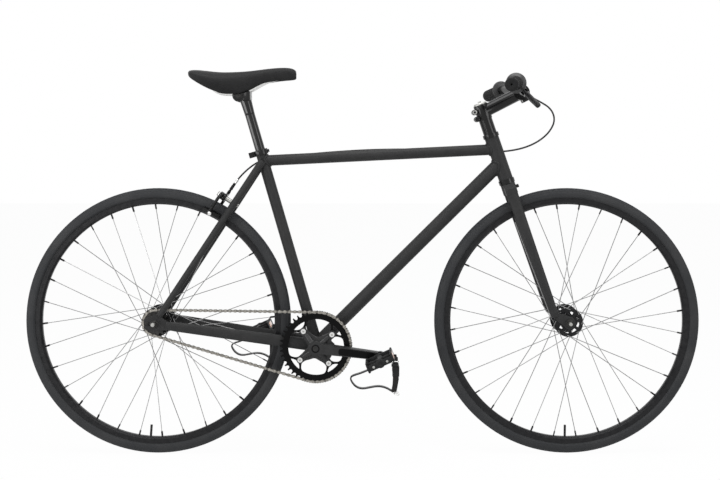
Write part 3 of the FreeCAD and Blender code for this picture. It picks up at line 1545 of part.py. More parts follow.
def sub_parts():
    """Every piece of the bicycle by its name."""
    front_shell = bearing_radius + frame_wall * 2
    front_outer = front_flange_spacing / 2 + flange_thickness
    cog_seat = chain_line - sprocket_thickness / 2
    front = (front_hub_centre, front_hub_spacing)
    rear = (rear_hub_centre, rear_hub_spacing)
    return {
        "head_tube": head_tube(),
        "top_tube": top_tube(),
        "down_tube": down_tube(),
        "seat_tube": seat_tube(),
        "bottom_bracket_shell": bottom_bracket_shell(),
        "chainstays": chainstays(),
        "seatstays": seatstays(),
        "rear_dropouts": rear_dropouts(),
        "headset": headset(),
        "bottom_bracket_cups": bottom_bracket_cups(),
        "seat_clamp": seat_collar(),
        "cable_guides": cable_guides(),
        "rear_axle": axle(*rear, dropout_thickness, rear_axle_radius),
        "rear_axle_nuts": axle_nuts(*rear, dropout_thickness, rear_axle_radius),
        "chain": chain(),
        "brake_pivot_bolt": brake_pivot_bolt(),
        "brake_cable_front": cable_body(cable_front_route(), cable_radius),
        "brake_cable_rear": cable_body(cable_rear_route(), cable_radius),
        "seatpost": seatpost(),
        "saddle_clamp": saddle_clamp(),
        "saddle_rails": saddle_rails(),
        "saddle": saddle(),
        "fork_steerer": fork_steerer(),
        "fork_blades": fork_blades(),
        "crown_plug": crown_plug(),
        "headset_spacers": headset_spacers(),
        "stem": stem(),
        "stem_bolts": stem_bolts(),
        "handlebar": handlebar(),
        "grips": grips(),
        "brake_lever_bracket": brake_lever_bracket(),
        "front_axle": axle(*front, dropout_thickness, front_axle_radius),
        "front_axle_nuts": axle_nuts(*front, dropout_thickness, front_axle_radius),
        "front_tyre": tyre(front_hub_centre),
        "front_inner_tube": inner_tube(front_hub_centre, front_valve_turn),
        "front_rim": rim(front_hub_centre, front_valve_turn),
        "front_spokes": spokes(front_hub_centre, front_flange_spacing, front_valve_turn),
        "front_hub": hub(*front, front_flange_spacing, front_shell, front_shell, front_outer,
                         front_axle_radius),
        "rear_tyre": tyre(rear_hub_centre),
        "rear_inner_tube": inner_tube(rear_hub_centre, rear_valve_turn),
        "rear_rim": rim(rear_hub_centre, rear_valve_turn),
        "rear_spokes": spokes(rear_hub_centre, rear_flange_spacing, rear_valve_turn),
        "rear_hub": hub(*rear, rear_flange_spacing, cog_thread_radius, lockring_radius, cog_seat,
                        rear_axle_radius),
        "rear_cog": rear_cog(),
        "crank_spindle": crank_spindle(),
        "right_crank": right_crank(),
        "left_crank": left_crank(),
        "chainring": chainring(),
        "chainring_bolts": chainring_bolts(),
        "crank_bolts": crank_bolts(),
        "pedal_axles": pedal_axles(),
        "right_pedal_body": pedal_body(-1),
        "right_toe_clip": toe_clip(-1),
        "right_toe_strap": toe_strap(-1),
        "left_pedal_body": pedal_body(1),
        "left_toe_clip": toe_clip(1),
        "left_toe_strap": toe_strap(1),
        "brake_lever": brake_lever(),
        "right_caliper_arm": caliper_arm(-1, 1),
        "left_caliper_arm": caliper_arm(1, 0),
    }


def main():
    os.makedirs("parts", exist_ok=True)
    for name, shape in sub_parts().items():
        shape.exportStep(os.path.join("parts", name + ".step"))


if __name__ == "__main__":
    main()
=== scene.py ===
# %% [markdown]
# # A fixed gear bicycle
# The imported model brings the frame, the wheels, the drive and the brake at their real size. This lesson dresses it:
# every surface gets a finish of its own, and the soft or fine pieces are modelled again with more care.
# Lengths are in metres, X points forward, Y to the rider's left and Z up. Lists of points are easier to read in
# millimetres, so profiles, blocks and routes are given that way and divided where they are used.

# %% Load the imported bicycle
import json
import math

import bmesh
import bpy
from mathutils import Matrix, Vector


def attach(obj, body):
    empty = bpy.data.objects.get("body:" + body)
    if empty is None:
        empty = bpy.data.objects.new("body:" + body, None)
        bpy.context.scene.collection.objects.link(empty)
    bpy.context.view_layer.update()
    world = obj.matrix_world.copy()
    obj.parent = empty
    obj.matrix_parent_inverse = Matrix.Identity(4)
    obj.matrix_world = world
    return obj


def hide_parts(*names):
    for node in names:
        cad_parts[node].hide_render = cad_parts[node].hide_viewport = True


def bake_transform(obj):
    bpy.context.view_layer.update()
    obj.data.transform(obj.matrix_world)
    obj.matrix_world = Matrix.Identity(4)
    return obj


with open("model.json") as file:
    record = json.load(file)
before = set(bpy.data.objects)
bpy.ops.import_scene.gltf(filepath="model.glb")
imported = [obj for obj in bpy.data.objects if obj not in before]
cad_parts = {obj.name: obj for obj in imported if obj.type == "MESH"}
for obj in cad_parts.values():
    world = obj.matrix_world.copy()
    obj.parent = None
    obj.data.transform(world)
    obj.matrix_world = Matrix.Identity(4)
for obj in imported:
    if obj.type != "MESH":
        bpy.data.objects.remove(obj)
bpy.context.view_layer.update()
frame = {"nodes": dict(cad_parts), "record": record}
nodes = frame["nodes"]

# %% [markdown]
# ## Landmarks
# A few points and directions come back in many pieces: the hubs, the bottom bracket, the steering axis and the stays.

# %% Name the landmarks
across = Vector((0, 1, 0))
rear_hub = Vector((-0.5287, 0, 0.343))
front_hub = Vector((0.5287, 0, 0.343))
bracket = Vector((-0.118118, 0, 0.281))
steering_foot = Vector((0.50128, 0, 0.33356))
head_dir = Vector((-0.325568, 0, 0.945519))
head_forward = Vector((0.945519, 0, 0.325568))
stay_dir = Vector((0.548151, 0, 0.836379))
stay_back = Vector((-0.836379, 0, 0.548151))
sides = {"right": -1, "left": 1}
print("wheelbase", round((front_hub - rear_hub).length, 4))

# %% [markdown]
# ## Camera
# The bicycle is seen square from its drive side, from about three metres, with the lens at the height of the top
# tube. A camera that looks straight along +Y keeps the wheels round. The picture's frame is then moved down and to
# the left with a small lens shift, as a studio camera does, so nothing has to be tilted.

# %% Set the camera at the picture's viewing angle
scene = bpy.context.scene
image_width = 720
image_height = 480
metres_per_pixel = 0.002595
camera_distance = 3.0
sensor_width = 36
axis_pixel = Vector((380, 150))
ground_pixel = Vector((362.55, 452.4))

camera_data = bpy.data.cameras.new("studio_camera")
camera = bpy.data.objects.new("studio_camera", camera_data)
scene.collection.objects.link(camera)
offset = (axis_pixel - ground_pixel) * metres_per_pixel
camera.location = (offset.x, -camera_distance, -offset.y)
camera.rotation_euler = (math.radians(90), 0, 0)
camera_data.sensor_width = sensor_width
camera_data.lens = sensor_width * camera_distance / metres_per_pixel / image_width
camera_data.shift_x = (image_width / 2 - axis_pixel.x) / image_width
camera_data.shift_y = (axis_pixel.y - image_height / 2) / image_width
camera_data.clip_end = 100
scene.camera = camera
print("lens", round(camera_data.lens, 2), "shift", round(camera_data.shift_x, 3), round(camera_data.shift_y, 3))

# %% [markdown]
# ## Node helpers
# The world, the floor and every finish are built from nodes. Two helpers make and connect them: a socket is linked
# where its value is another node's output, and set where its value is a constant.

# %% Define the node helpers


def feed(tree, node, sockets):
    """Link or set the sockets of a node, given by name or number."""
    for label, value in sockets.items():
        if isinstance(value, bpy.types.NodeSocket):
            tree.links.new(value, node.inputs[label])
        else:
            node.inputs[label].default_value = value


def add_node(tree, kind, sockets, **settings):
    """New shader node with its settings and its sockets."""
    node = tree.nodes.new("ShaderNode" + kind)
    for label, value in settings.items():
        setattr(node, label, value)
    feed(tree, node, sockets)
    return node


def node_material(name):
    """New material with its tree and its Principled shader."""
    material = bpy.data.materials.new(name)
    material.use_nodes = True
    return material, material.node_tree, material.node_tree.nodes["Principled BSDF"]


def noise(tree, vector, scale, detail):
    return add_node(tree, "TexNoise", {"Vector": vector, "Scale": scale, "Detail": detail}).outputs["Fac"]


def remap(tree, value, low, high, start, end):
    sockets = {"Value": value, "From Min": low, "From Max": high, "To Min": start, "To Max": end}
    return add_node(tree, "MapRange", sockets).outputs["Result"]


def mix_colour(tree, share, first, second):
    return add_node(tree, "Mix", {"Factor": share, 6: first, 7: second}, data_type="RGBA").outputs[2]


def combine(tree, operation, first, second):
    return add_node(tree, "Math", {0: first, 1: second}, operation=operation).outputs["Value"]


print("node helpers ready")

# %% [markdown]
# ## Light and floor
# A black bicycle is drawn by what it mirrors. Large soft lamps above and in front give the tubes their long pale
# edges, a long low lamp at the rear draws a stripe down the leaning post, and the pale surroundings fill the rest.
# The background is white only for the camera and for mirror rays, so it adds no extra light to the paint.

# %% Build the studio
scene.view_settings.view_transform = "Standard"


def white_rays(tree):
    """One for rays from the camera and for rays that a surface mirrors or lets through."""
    path = add_node(tree, "LightPath", {}).outputs
    seen = combine(tree, "MAXIMUM", path["Is Camera Ray"], path["Is Glossy Ray"])
    return combine(tree, "MAXIMUM", seen, path["Is Transmission Ray"])


world = bpy.data.worlds.new("studio_world")
scene.world = world
world.use_nodes = True
tree = world.node_tree
tree.nodes.clear()
fill = add_node(tree, "Background", {"Color": (0.93, 0.96, 1.0, 1), "Strength": 0.26}).outputs["Background"]
white = add_node(tree, "Background", {"Color": (1, 1, 1, 1), "Strength": 1.0}).outputs["Background"]
choose = add_node(tree, "MixShader", {"Fac": white_rays(tree), 1: fill, 2: white})
add_node(tree, "OutputWorld", {"Surface": choose.outputs["Shader"]})

lamps = {"overhead_box": ((0.0, -0.6, 3.0), (0.0, 0.0, 0.5), (3.2, 1.6), 70),
         "front_box": ((-1.6, -3.2, 1.9), (0.0, 0.0, 0.6), (1.8, 1.8), 25),
         "low_box": ((-2.6, -1.5, 0.3), (-0.2, 0.0, 0.7), (2.6, 0.5), 30),
         "side_box": ((2.6, -2.2, 1.6), (0.2, 0.0, 0.6), (1.2, 2.0), 30)}
for name, (place, target, size, power) in lamps.items():
    data = bpy.data.lights.new(name, "AREA")
    data.shape = "RECTANGLE"
    data.size, data.size_y = size
    data.energy = power
    lamp = bpy.data.objects.new(name, data)
    lamp.location = place
    lamp.rotation_euler = (Vector(target) - Vector(place)).to_track_quat("-Z", "Y").to_euler()
    scene.collection.objects.link(lamp)

floor_drop = 0.0005
floor_mesh = bpy.data.meshes.new("studio_floor")
floor_shape = bmesh.new()
bmesh.ops.create_grid(floor_shape, x_segments=1, y_segments=1, size=14)
bmesh.ops.translate(floor_shape, vec=(0, 0, -floor_drop), verts=floor_shape.verts)
floor_shape.to_mesh(floor_mesh)
floor_shape.free()
floor = bpy.data.objects.new("studio_floor", floor_mesh)
scene.collection.objects.link(floor)

floor_paint, tree, shader = node_material("floor_paint")
feed(tree, shader, {"Base Color": (0.9, 0.9, 0.9, 1), "Roughness": 0.9})
glow = add_node(tree, "Emission", {"Strength": 1.0}).outputs["Emission"]
share = combine(tree, "MULTIPLY", white_rays(tree), 0.97)
mixed = add_node(tree, "MixShader", {"Fac": share, 1: shader.outputs["BSDF"], 2: glow})
feed(tree, tree.nodes["Material Output"], {"Surface": mixed.outputs["Shader"]})
floor_mesh.materials.append(floor_paint)
print("lamps:", len(lamps))

# %% [markdown]
# ## Shared surface effects
# Paint, metal and rubber all vary a little over their surface. Two node groups hold those effects once: one gives
# fine mottling of colour and gloss with a height for bump, the other lays a thin uneven film of dust where noise is
# high. Each material places them with its own scale and colours.

# %% Build the node groups


def node_group(name, inputs, outputs):
    """Empty shader group; an input is (kind, name, value) and an output (kind, name)."""
    group = bpy.data.node_groups.new(name, "ShaderNodeTree")
    for kind, label, value in inputs:
        socket = group.interface.new_socket(label, in_out="INPUT", socket_type="NodeSocket" + kind)
        if value is not None:
            socket.default_value = value
    for kind, label in outputs:
        group.interface.new_socket(label, in_out="OUTPUT", socket_type="NodeSocket" + kind)
    return group, group.nodes.new("NodeGroupInput").outputs, group.nodes.new("NodeGroupOutput")


mottle, given, result = node_group(
    "mottle",
    [("Vector", "Vector", None), ("Float", "Scale", 40.0), ("Color", "First", (0.02, 0.02, 0.02, 1)),
     ("Color", "Second", (0.03, 0.03, 0.03, 1)), ("Float", "Smooth", 0.3), ("Float", "Rough", 0.5)],
    [("Color", "Color"), ("Float", "Roughness"), ("Float", "Height")])
broad = noise(mottle, given["Vector"], given["Scale"], 3.0)
share = remap(mottle, broad, 0.35, 0.65, 0.0, 1.0)
feed(mottle, result, {"Color": mix_colour(mottle, share, given["First"], given["Second"]),
                      "Roughness": remap(mottle, broad, 0.3, 0.7, given["Smooth"], given["Rough"]),
                      "Height": noise(mottle, given["Vector"], 900.0, 2.0)})

dust, given, result = node_group(
    "dust_film",
    [("Vector", "Vector", None), ("Color", "Surface", (0.02, 0.02, 0.02, 1)),
     ("Color", "Dust", (0.2, 0.19, 0.18, 1)), ("Float", "Amount", 0.15)],
    [("Color", "Color")])
film = remap(dust, noise(dust, given["Vector"], 14.0, 6.0), 0.45, 0.75, 0.0, given["Amount"])
feed(dust, result, {"Color": mix_colour(dust, film, given["Surface"], given["Dust"])})
print("groups:", [group.name for group in bpy.data.node_groups])

# %% [markdown]
# ## Finishes
# One helper makes a material: object coordinates, the mottle group, and a bump that feeds the Principled shader.
# Each finish gives it two colours, a range of gloss and the grain's scale and depth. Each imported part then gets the
# finish of its slot, or one of its own.

# %% Make the finishes


def finish(name, first, second, smooth, rough, scale=40.0, bump=0.05, metallic=0.0, coat=0.0, dusty=0.0, shine=0.5):
    """Material with mottled colour and gloss; returns it with its shader, bump and coordinates."""
    material, tree, shader = node_material(name)
    place = add_node(tree, "TexCoord", {}).outputs["Object"]
    spots = add_node(tree, "Group", {"Vector": place, "Scale": scale, "First": (*first, 1), "Second": (*second, 1),
                                     "Smooth": smooth, "Rough": rough}, node_tree=mottle).outputs
    colour = spots["Color"]
    if dusty:
        film = {"Vector": place, "Surface": colour, "Amount": dusty}
        colour = add_node(tree, "Group", film, node_tree=dust).outputs["Color"]
    relief = add_node(tree, "Bump", {"Strength": bump, "Distance": 0.0004, "Height": spots["Height"]})
    feed(tree, shader, {"Base Color": colour, "Roughness": spots["Roughness"], "Normal": relief.outputs["Normal"],
                        "Metallic": metallic, "Coat Weight": coat, "Coat Roughness": 0.08,
                        "Specular IOR Level": shine})
    return {"material": material, "tree": tree, "shader": shader, "relief": relief.outputs["Normal"],
            "place": place, "colour": colour}


def add_bump(look, height, strength, distance, under=None):
    """Bump that takes the place of a finish's own, or lies over the normal given."""
    sockets = {"Strength": strength, "Distance": distance, "Height": height}
    if under is not None:
        sockets["Normal"] = under
    relief = add_node(look["tree"], "Bump", sockets)
    feed(look["tree"], look["shader"], {"Normal": relief.outputs["Normal"]})


def cell_bump(look, scale, strength, distance, under=None):
    """Bump from a fine cell pattern."""
    cells = add_node(look["tree"], "TexVoronoi", {"Vector": look["place"], "Scale": scale})
    add_bump(look, cells.outputs["Distance"], strength, distance, under)


deep_black = ((0.003, 0.003, 0.0031), (0.0045, 0.0045, 0.0046))
matt_paint = finish("matt_black_paint", (0.0222, 0.0222, 0.0224), (0.026, 0.026, 0.0262), 0.46, 0.56, 60, 0.12,
                    dusty=0.03, shine=0.15)
gloss_paint = finish("gloss_black", *deep_black, 0.16, 0.24, 35, 0.03, coat=0.1, shine=0.22)
post_black = finish("post_black", *deep_black, 0.13, 0.2, 35, 0.03, coat=0.1, shine=0.3)
crank_paint = finish("crank_black", *deep_black, 0.18, 0.26, 35, 0.03, shine=0.07)
# The forged crank arms and spider get a paler base than the other blacks: painted highlight for the light their
# bevels and arms catch.
forged_black_painted_highlight = finish("forged_black_painted_highlight", (0.017, 0.017, 0.0172), (0.023, 0.023, 0.0232), 0.26, 0.38, 50, 0.05,
                      shine=0.25)
anodised = finish("black_anodised", (0.012, 0.012, 0.013), (0.018, 0.018, 0.019), 0.3, 0.4, 90, 0.05,
                  metallic=0.4, shine=0.2)
dark_steel = finish("dark_steel", (0.02, 0.02, 0.0195), (0.04, 0.039, 0.037), 0.3, 0.45, 140, 0.08, metallic=0.7)
dull_steel = finish("dull_steel", (0.30, 0.30, 0.29), (0.42, 0.42, 0.40), 0.35, 0.5, 160, 0.1, metallic=1.0)
bright_steel = finish("bright_steel", (0.66, 0.66, 0.65), (0.74, 0.74, 0.73), 0.14, 0.24, 120, 0.02, metallic=1.0)
spoke_wire = finish("spoke_wire", (0.2, 0.2, 0.2), (0.27, 0.27, 0.27), 0.3, 0.4, 200, 0.02, metallic=0.9)
oiled_steel = finish("oiled_chain", (0.19, 0.175, 0.155), (0.36, 0.345, 0.315), 0.24, 0.4, 220, 0.08, metallic=0.9)
tyre_rubber = finish("tyre_rubber", (0.0164, 0.0172, 0.0188), (0.0210, 0.0219, 0.0234), 0.66, 0.82, 120, 0.35,
                     dusty=0.05, shine=0.08)
tube_rubber = finish("tube_rubber", (0.012, 0.012, 0.012), (0.02, 0.02, 0.02), 0.6, 0.7, 60, 0.1, shine=0.2)
grip_rubber = finish("grip_rubber", (0.010, 0.010, 0.0102), (0.015, 0.015, 0.0153), 0.55, 0.7, 160, 0.4, shine=0.12)
cable_sleeve = finish("cable_sleeve", (0.022, 0.022, 0.022), (0.032, 0.032, 0.032), 0.25, 0.35, 90, 0.05, shine=0.2)
saddle_cover = finish("saddle_cover", (0.0138, 0.0138, 0.0140), (0.0178, 0.0178, 0.0181), 0.45, 0.58, 70, 0.3,
                      shine=0.1)
moulded_resin = finish("moulded_resin", (0.010, 0.010, 0.0103), (0.016, 0.016, 0.0164), 0.4, 0.55, 110, 0.25,
                       shine=0.15)
clip_steel = finish("black_spring_steel", (0.012, 0.012, 0.0123), (0.018, 0.018, 0.0184), 0.25, 0.38, 80, 0.05,
                    shine=0.2)
strap_hide = finish("strap_hide", (0.012, 0.011, 0.0105), (0.019, 0.018, 0.017), 0.5, 0.7, 130, 0.5, shine=0.15)

slot_finish = {"frame_paint": matt_paint, "gloss_black": gloss_paint, "black_anodised": anodised,
               "dull_steel": dull_steel, "bright_steel": bright_steel, "spoke_steel": spoke_wire,
               "chain_steel": oiled_steel, "tyre_rubber": tyre_rubber, "tube_rubber": tube_rubber,
               "grip_rubber": grip_rubber, "cable_housing": cable_sleeve, "saddle_cover": saddle_cover,
               "pedal_resin": moulded_resin, "clip_steel": clip_steel, "strap_leather": strap_hide}
node_finish = {"right_crank": forged_black_painted_highlight, "left_crank": forged_black_painted_highlight, "chainring": crank_paint,
               "crank_bolts": dark_steel, "rear_cog": dark_steel, "rear_axle_nuts": dark_steel,
               "front_axle_nuts": dark_steel, "seatpost": post_black}
for entry in frame["record"]["subparts"]:
    mesh = nodes[entry["node"]].data
    mesh.materials.clear()
    mesh.materials.append(node_finish.get(entry["node"], slot_finish[entry["material_slot"]])["material"])
print("finishes by slot:", len(slot_finish), "by part:", len(node_finish))

# %% Darken the spokes' nipples
nipple_start = 0.2865
nipple_full = 0.2875
wire_tree = spoke_wire["tree"]
reach = [add_node(wire_tree, "VectorMath", {0: spoke_wire["place"], 1: hub}, operation="DISTANCE").outputs["Value"]
         for hub in (rear_hub, front_hub)]
share = remap(wire_tree, combine(wire_tree, "MINIMUM", *reach), nipple_start, nipple_full, 0.0, 1.0)
wire_colour = mix_colour(wire_tree, share, spoke_wire["colour"], (0.02, 0.02, 0.02, 1))
feed(wire_tree, spoke_wire["shader"], {"Base Color": wire_colour})
print("nipples start", nipple_full, "from each hub")

# %% [markdown]
# ## Helpers for new pieces
# A new piece starts as a bmesh, is closed and turned outwards, and becomes an object at the origin that rides on one
# body of the bicycle. Three shapes come back often: a turned shape, spun from its profile, a swept shape, a smooth
# curve with a cross section that is made a mesh, and a block with rounded edges.

# %% Define the helpers


def metres(points):
    """Points given in millimetres."""
    return [tuple(value / 1000 for value in point) for point in points]


def make_piece(name, shape, looks, body, replaced=(), smooth_angle=40):
    """Object from a bmesh that rides on a body, or on none yet; gentle edges are shaded smooth."""
    bmesh.ops.remove_doubles(shape, verts=shape.verts, dist=1e-6)
    bmesh.ops.recalc_face_normals(shape, faces=shape.faces)
    limit = math.radians(smooth_angle)
    for face in shape.faces:
        face.smooth = True
    for edge in shape.edges:
        edge.smooth = edge.is_manifold and edge.calc_face_angle(0) < limit
    mesh = bpy.data.meshes.new(name)
    shape.to_mesh(mesh)
    shape.free()
    for look in looks if isinstance(looks, list) else [looks]:
        mesh.materials.append(look["material"])
    piece = bpy.data.objects.new(name, mesh)
    scene.collection.objects.link(piece)
    if body:
        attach(piece, body)
    if replaced:
        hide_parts(*replaced)
    return piece


def turned(shape, profile, centre, axis, steps=48, close=False):
    """Spin a profile of (radius, height) points in millimetres about an axis through a centre."""
    aim = Vector((0, 0, 1)).rotation_difference(Vector(axis)).to_matrix().to_4x4()
    aim = Matrix.Translation(centre) @ aim
    ring = [shape.verts.new(aim @ Vector((max(radius / 1000, 1e-7), 0, height / 1000))) for radius, height in profile]
    pairs = list(zip(ring, ring[1:])) + ([(ring[-1], ring[0])] if close else [])
    edges = [shape.edges.new(pair) for pair in pairs]
    before = set(shape.faces)
    bmesh.ops.spin(shape, geom=ring + edges, cent=centre, axis=Vector(axis).normalized(), angle=math.tau,
                   steps=steps, use_merge=True, use_normal_flip=False, use_duplicate=False)
    return [face for face in shape.faces if face not in before]


def turned_piece(name, spins, look, body, replaced=()):
    """Piece of turned shapes, each (profile, centre, axis, steps) and, for a hollow one, True."""
    shape = bmesh.new()
    for spin in spins:
        turned(shape, *spin)
    return make_piece(name, shape, look, body, replaced)


def spline_object(name, points, closed=False):
    """Smooth curve with the given control points."""
    data = bpy.data.curves.new(name, "CURVE")
    data.dimensions = "3D"
    spline = data.splines.new("NURBS")
    spline.points.add(len(points) - 1)
    for target, point in zip(spline.points, points):
        target.co = (*point, 1)
    spline.order_u = 3
    spline.use_cyclic_u = closed
    spline.use_endpoint_u = not closed
    spline.resolution_u = 8
    piece = bpy.data.objects.new(name, data)
    scene.collection.objects.link(piece)
    return piece


def spline_points(points, closed=False):
    """Points along the smooth curve."""
    guide = spline_object("guide", points, closed)
    line = bpy.data.meshes.new_from_object(guide)
    found = [vertex.co.copy() for vertex in line.vertices]
    bpy.data.meshes.remove(line)
    bpy.data.objects.remove(guide)
    return found


def flat_section(width, thickness):
    """Outline of a flat band with cut corners, as a curve to sweep."""
    cut = thickness * 0.3
    corners = []
    for x, y in ((1, 1), (-1, 1), (-1, -1), (1, -1)):
        near = (x * (width / 2 - cut), y * thickness / 2)
        far = (x * width / 2, y * (thickness / 2 - cut))
        corners += [far, near] if x * y > 0 else [near, far]
    outline = bpy.data.curves.new("outline", "CURVE")
    edge = outline.splines.new("POLY")
    edge.points.add(len(corners) - 1)
    for target, (x, y) in zip(edge.points, corners):
        target.co = (x, y, 0, 1)
    edge.use_cyclic_u = True
    cutter = bpy.data.objects.new("outline", outline)
    scene.collection.objects.link(cutter)
    return cutter


def swept_piece(name, points, section, look, body, replaced=(), closed=False, resolution=3):
    """Piece along a smooth curve, with a round section (its radius) or a flat one (width, thickness)."""
    guide = spline_object(name, points, closed)
    helpers = [guide]
    guide.data.use_fill_caps = not closed
    if isinstance(section, tuple):
        guide.data.bevel_mode = "OBJECT"
        guide.data.twist_mode = "Z_UP"
        guide.data.bevel_object = flat_section(*section)
        helpers.append(guide.data.bevel_object)
    else:
        guide.data.bevel_depth = section
        guide.data.bevel_resolution = resolution
    evaluated = guide.evaluated_get(bpy.context.evaluated_depsgraph_get())
    mesh = bpy.data.meshes.new_from_object(evaluated)
    shape = bmesh.new()
    shape.from_mesh(mesh)
    bpy.data.meshes.remove(mesh)
    for helper in helpers:
        bpy.data.objects.remove(helper)
    return make_piece(name, shape, look, body, replaced)


def ring_edges(shape, ring):
    return [shape.edges.new(pair) for pair in zip(ring, ring[1:] + ring[:1])]


def thicken(shape, faces, shift):
    """Extrude faces by a shift; returns the moved corners."""
    grown = bmesh.ops.extrude_face_region(shape, geom=faces)["geom"]
    moved = [item for item in grown if isinstance(item, bmesh.types.BMVert)]
    bmesh.ops.translate(shape, vec=shift, verts=moved)
    return moved


def bevel(shape, edges, offset, segments, clamp=False):
    return bmesh.ops.bevel(shape, geom=edges, offset=offset, offset_type="OFFSET", segments=segments, profile=0.5,
                           affect="EDGES", material=-1, clamp_overlap=clamp)["faces"]


def axes_matrix(first, second, third, origin):
    """Matrix whose columns are three axes and an origin."""
    matrix = Matrix((first, second, third)).transposed().to_4x4()
    matrix.translation = origin
    return matrix


def block(shape, low, high, radius, place, segments=2):
    """Block between two corners in millimetres, with rounded edges, moved to its place."""
    made = bmesh.ops.create_cube(shape, size=1)["verts"]
    bmesh.ops.scale(shape, vec=(Vector(high) - Vector(low)) / 1000, verts=made)
    bmesh.ops.translate(shape, vec=(Vector(high) + Vector(low)) / 2000, verts=made)
    edges = list({edge for vert in made for edge in vert.link_edges})
    faces = bevel(shape, edges, radius / 1000, segments)
    rounded = {vert for face in faces for vert in face.verts} | {vert for vert in made if vert.is_valid}
    bmesh.ops.transform(shape, matrix=place, verts=list(rounded))


print("piece helpers ready")

# %% [markdown]
# ## Tyres
# A city tyre is a round casing with a slightly flatter tread. The tread has shallow grooves round the wheel, and the
# side wall carries thin moulded lines near the rim. A profile spun about the axle makes all of that in one go. The
# cross cuts of the tread are too many to model, so a wave in the tread's own map raises and lowers them as bump.

# %% Turn the tyres
tyre_radius = 343
casing = 16
lining = 12.5
tread_tile = 40
grooves = ((6, 0), (8, 0.7), (12, 0.7), (14, 0), (30, 0), (32, 0.6), (36, 0.6), (38, 0), (52, 0), (54, 0.5),
           (66, 0.3), (80, 0.2), (94, 0), (104, 0), (106, -0.2), (110, -0.2), (112, 0), (120, 0))
bead = [(317.2, 10.9), (317.2, 8.8), (311.2, 8.8), (311.2, 6.0), (317.2, 5.5)]


def tyre_profile():
    """Half of the outer skin from the tread's middle to the rim, then the inside back to the middle."""
    skin = [(angle, casing - sink) for angle, sink in ((0, 0), *grooves)]
    inside = [(angle, lining) for angle in (120, 90, 60, 30, 0)]
    skin, inside = ([(tyre_radius - casing + reach * math.cos(math.radians(angle)),
                      reach * math.sin(math.radians(angle))) for angle, reach in part] for part in (skin, inside))
    return skin + bead + inside


def tread_finish(name):
    """Tyre rubber whose tread has slanted cuts, laid out round the wheel."""
    rubber = finish(name, (0.017, 0.0179, 0.0196), (0.0221, 0.023, 0.0247), 0.66, 0.82, 120, 0.3,
                    dusty=0.06, shine=0.3)
    tree = rubber["tree"]
    layout = add_node(tree, "UVMap", {}, uv_map="tread").outputs["UV"]
    cuts = add_node(tree, "TexWave", {"Vector": layout, "Scale": 30.0, "Distortion": 0.0},
                    bands_direction="DIAGONAL").outputs["Fac"]
    height = add_node(tree, "SeparateXYZ", {"Vector": layout}).outputs["Y"]
    band = remap(tree, height, 0.66, 0.7, 1.0, 0.0)
    add_bump(rubber, combine(tree, "MULTIPLY", cuts, band), 0.6, 0.0008, rubber["relief"])
    # The tread band gets a paler, slightly bluish colour than the side walls.
    paler_tread_colour = mix_colour(tree, band, rubber["colour"], (0.0255, 0.0272, 0.0306, 1))
    feed(tree, rubber["shader"], {"Base Color": paler_tread_colour})
    return rubber


def make_tyre(word, centre):
    half = tyre_profile()
    outline = half + [(radius, -height) for radius, height in half[-2:0:-1]]
    shape = bmesh.new()
    turned(shape, outline, centre, across, steps=144, close=True)
    layout = shape.loops.layers.uv.new("tread")
    for face in shape.faces:
        middle = face.calc_center_median() - centre
        facing = math.atan2(middle.z, middle.x)
        for loop in face.loops:
            spot = loop.vert.co - centre
            turn = math.atan2(spot.z, spot.x)
            turn += math.tau * round((facing - turn) / math.tau)
            rise = math.atan2(abs(spot.y), math.hypot(spot.x, spot.z) - (tyre_radius - casing) / 1000)
            loop[layout].uv = (turn * tyre_radius / tread_tile, rise)
    name = word + "_tyre_skin"
    return make_piece(name, shape, tread_finish(name + "_rubber"), word + "_wheel", [word + "_tyre"])


tyres = [make_tyre("front", front_hub), make_tyre("rear", rear_hub)]
print("tyre faces:", [len(piece.data.polygons) for piece in tyres])

# %% [markdown]
# ## Saddle
# The saddle is a padded shell: broad and lifted at the tail, dipped where the rider sits, and narrow at the nose. It
# is lofted through cross sections, each a closed loop that goes over the padding and back under the shell, and a
# subdivision rounds it. The cover is fine-grained, so a small cell pattern gives the grain.

# %% Loft the saddle
saddle_middle = -304.5
saddle_shell = 7
# Each section is its place along the saddle, its half width, and the heights of its top and its skirt.
saddle_sections = [(-142.5, 40, 988, 977), (-138, 55, 991, 970), (-120, 70, 991.5, 958), (-92, 70.5, 988.5, 942),
                   (-65, 66, 985.5, 931), (-35, 54, 986, 927), (-5, 40, 987.5, 929), (20, 32, 990, 943),
                   (43, 27.5, 993, 955), (67, 24, 996, 960), (91, 21.5, 998, 963.5), (110, 20.5, 998, 965),
                   (124, 18.5, 995.8, 966), (132.5, 14.5, 990, 968)]
padding = [(1.0, 0.0), (1.02, 0.30), (1.0, 0.55), (0.88, 0.80), (0.62, 0.95), (0.32, 0.995), (0.0, 1.0)]


def saddle_ring(shape, x, half, top, skirt):
    """Loop over the padding from the right skirt to the left, and back under the shell."""
    rise = top - skirt
    inner_half = max(half - saddle_shell, half * 0.55)
    drop = min(saddle_shell / rise, 0.45)
    under = [(1.0, 0.0), (1.0, 0.25), (0.8, 0.8 - drop), (0.45, 0.98 - drop), (0.0, 1 - drop)]
    over = [(-share * half * (0.9 + 0.1 * min(height * 2, 1)), height) for share, height in padding]
    back = [(share * inner_half * 0.92, height) for share, height in under]
    points = [spot for row in (over, back) for spot in row + [(-y, height) for y, height in row[-2::-1]]]
    return [shape.verts.new(Vector((saddle_middle + x, y, skirt + rise * height)) / 1000) for y, height in points]


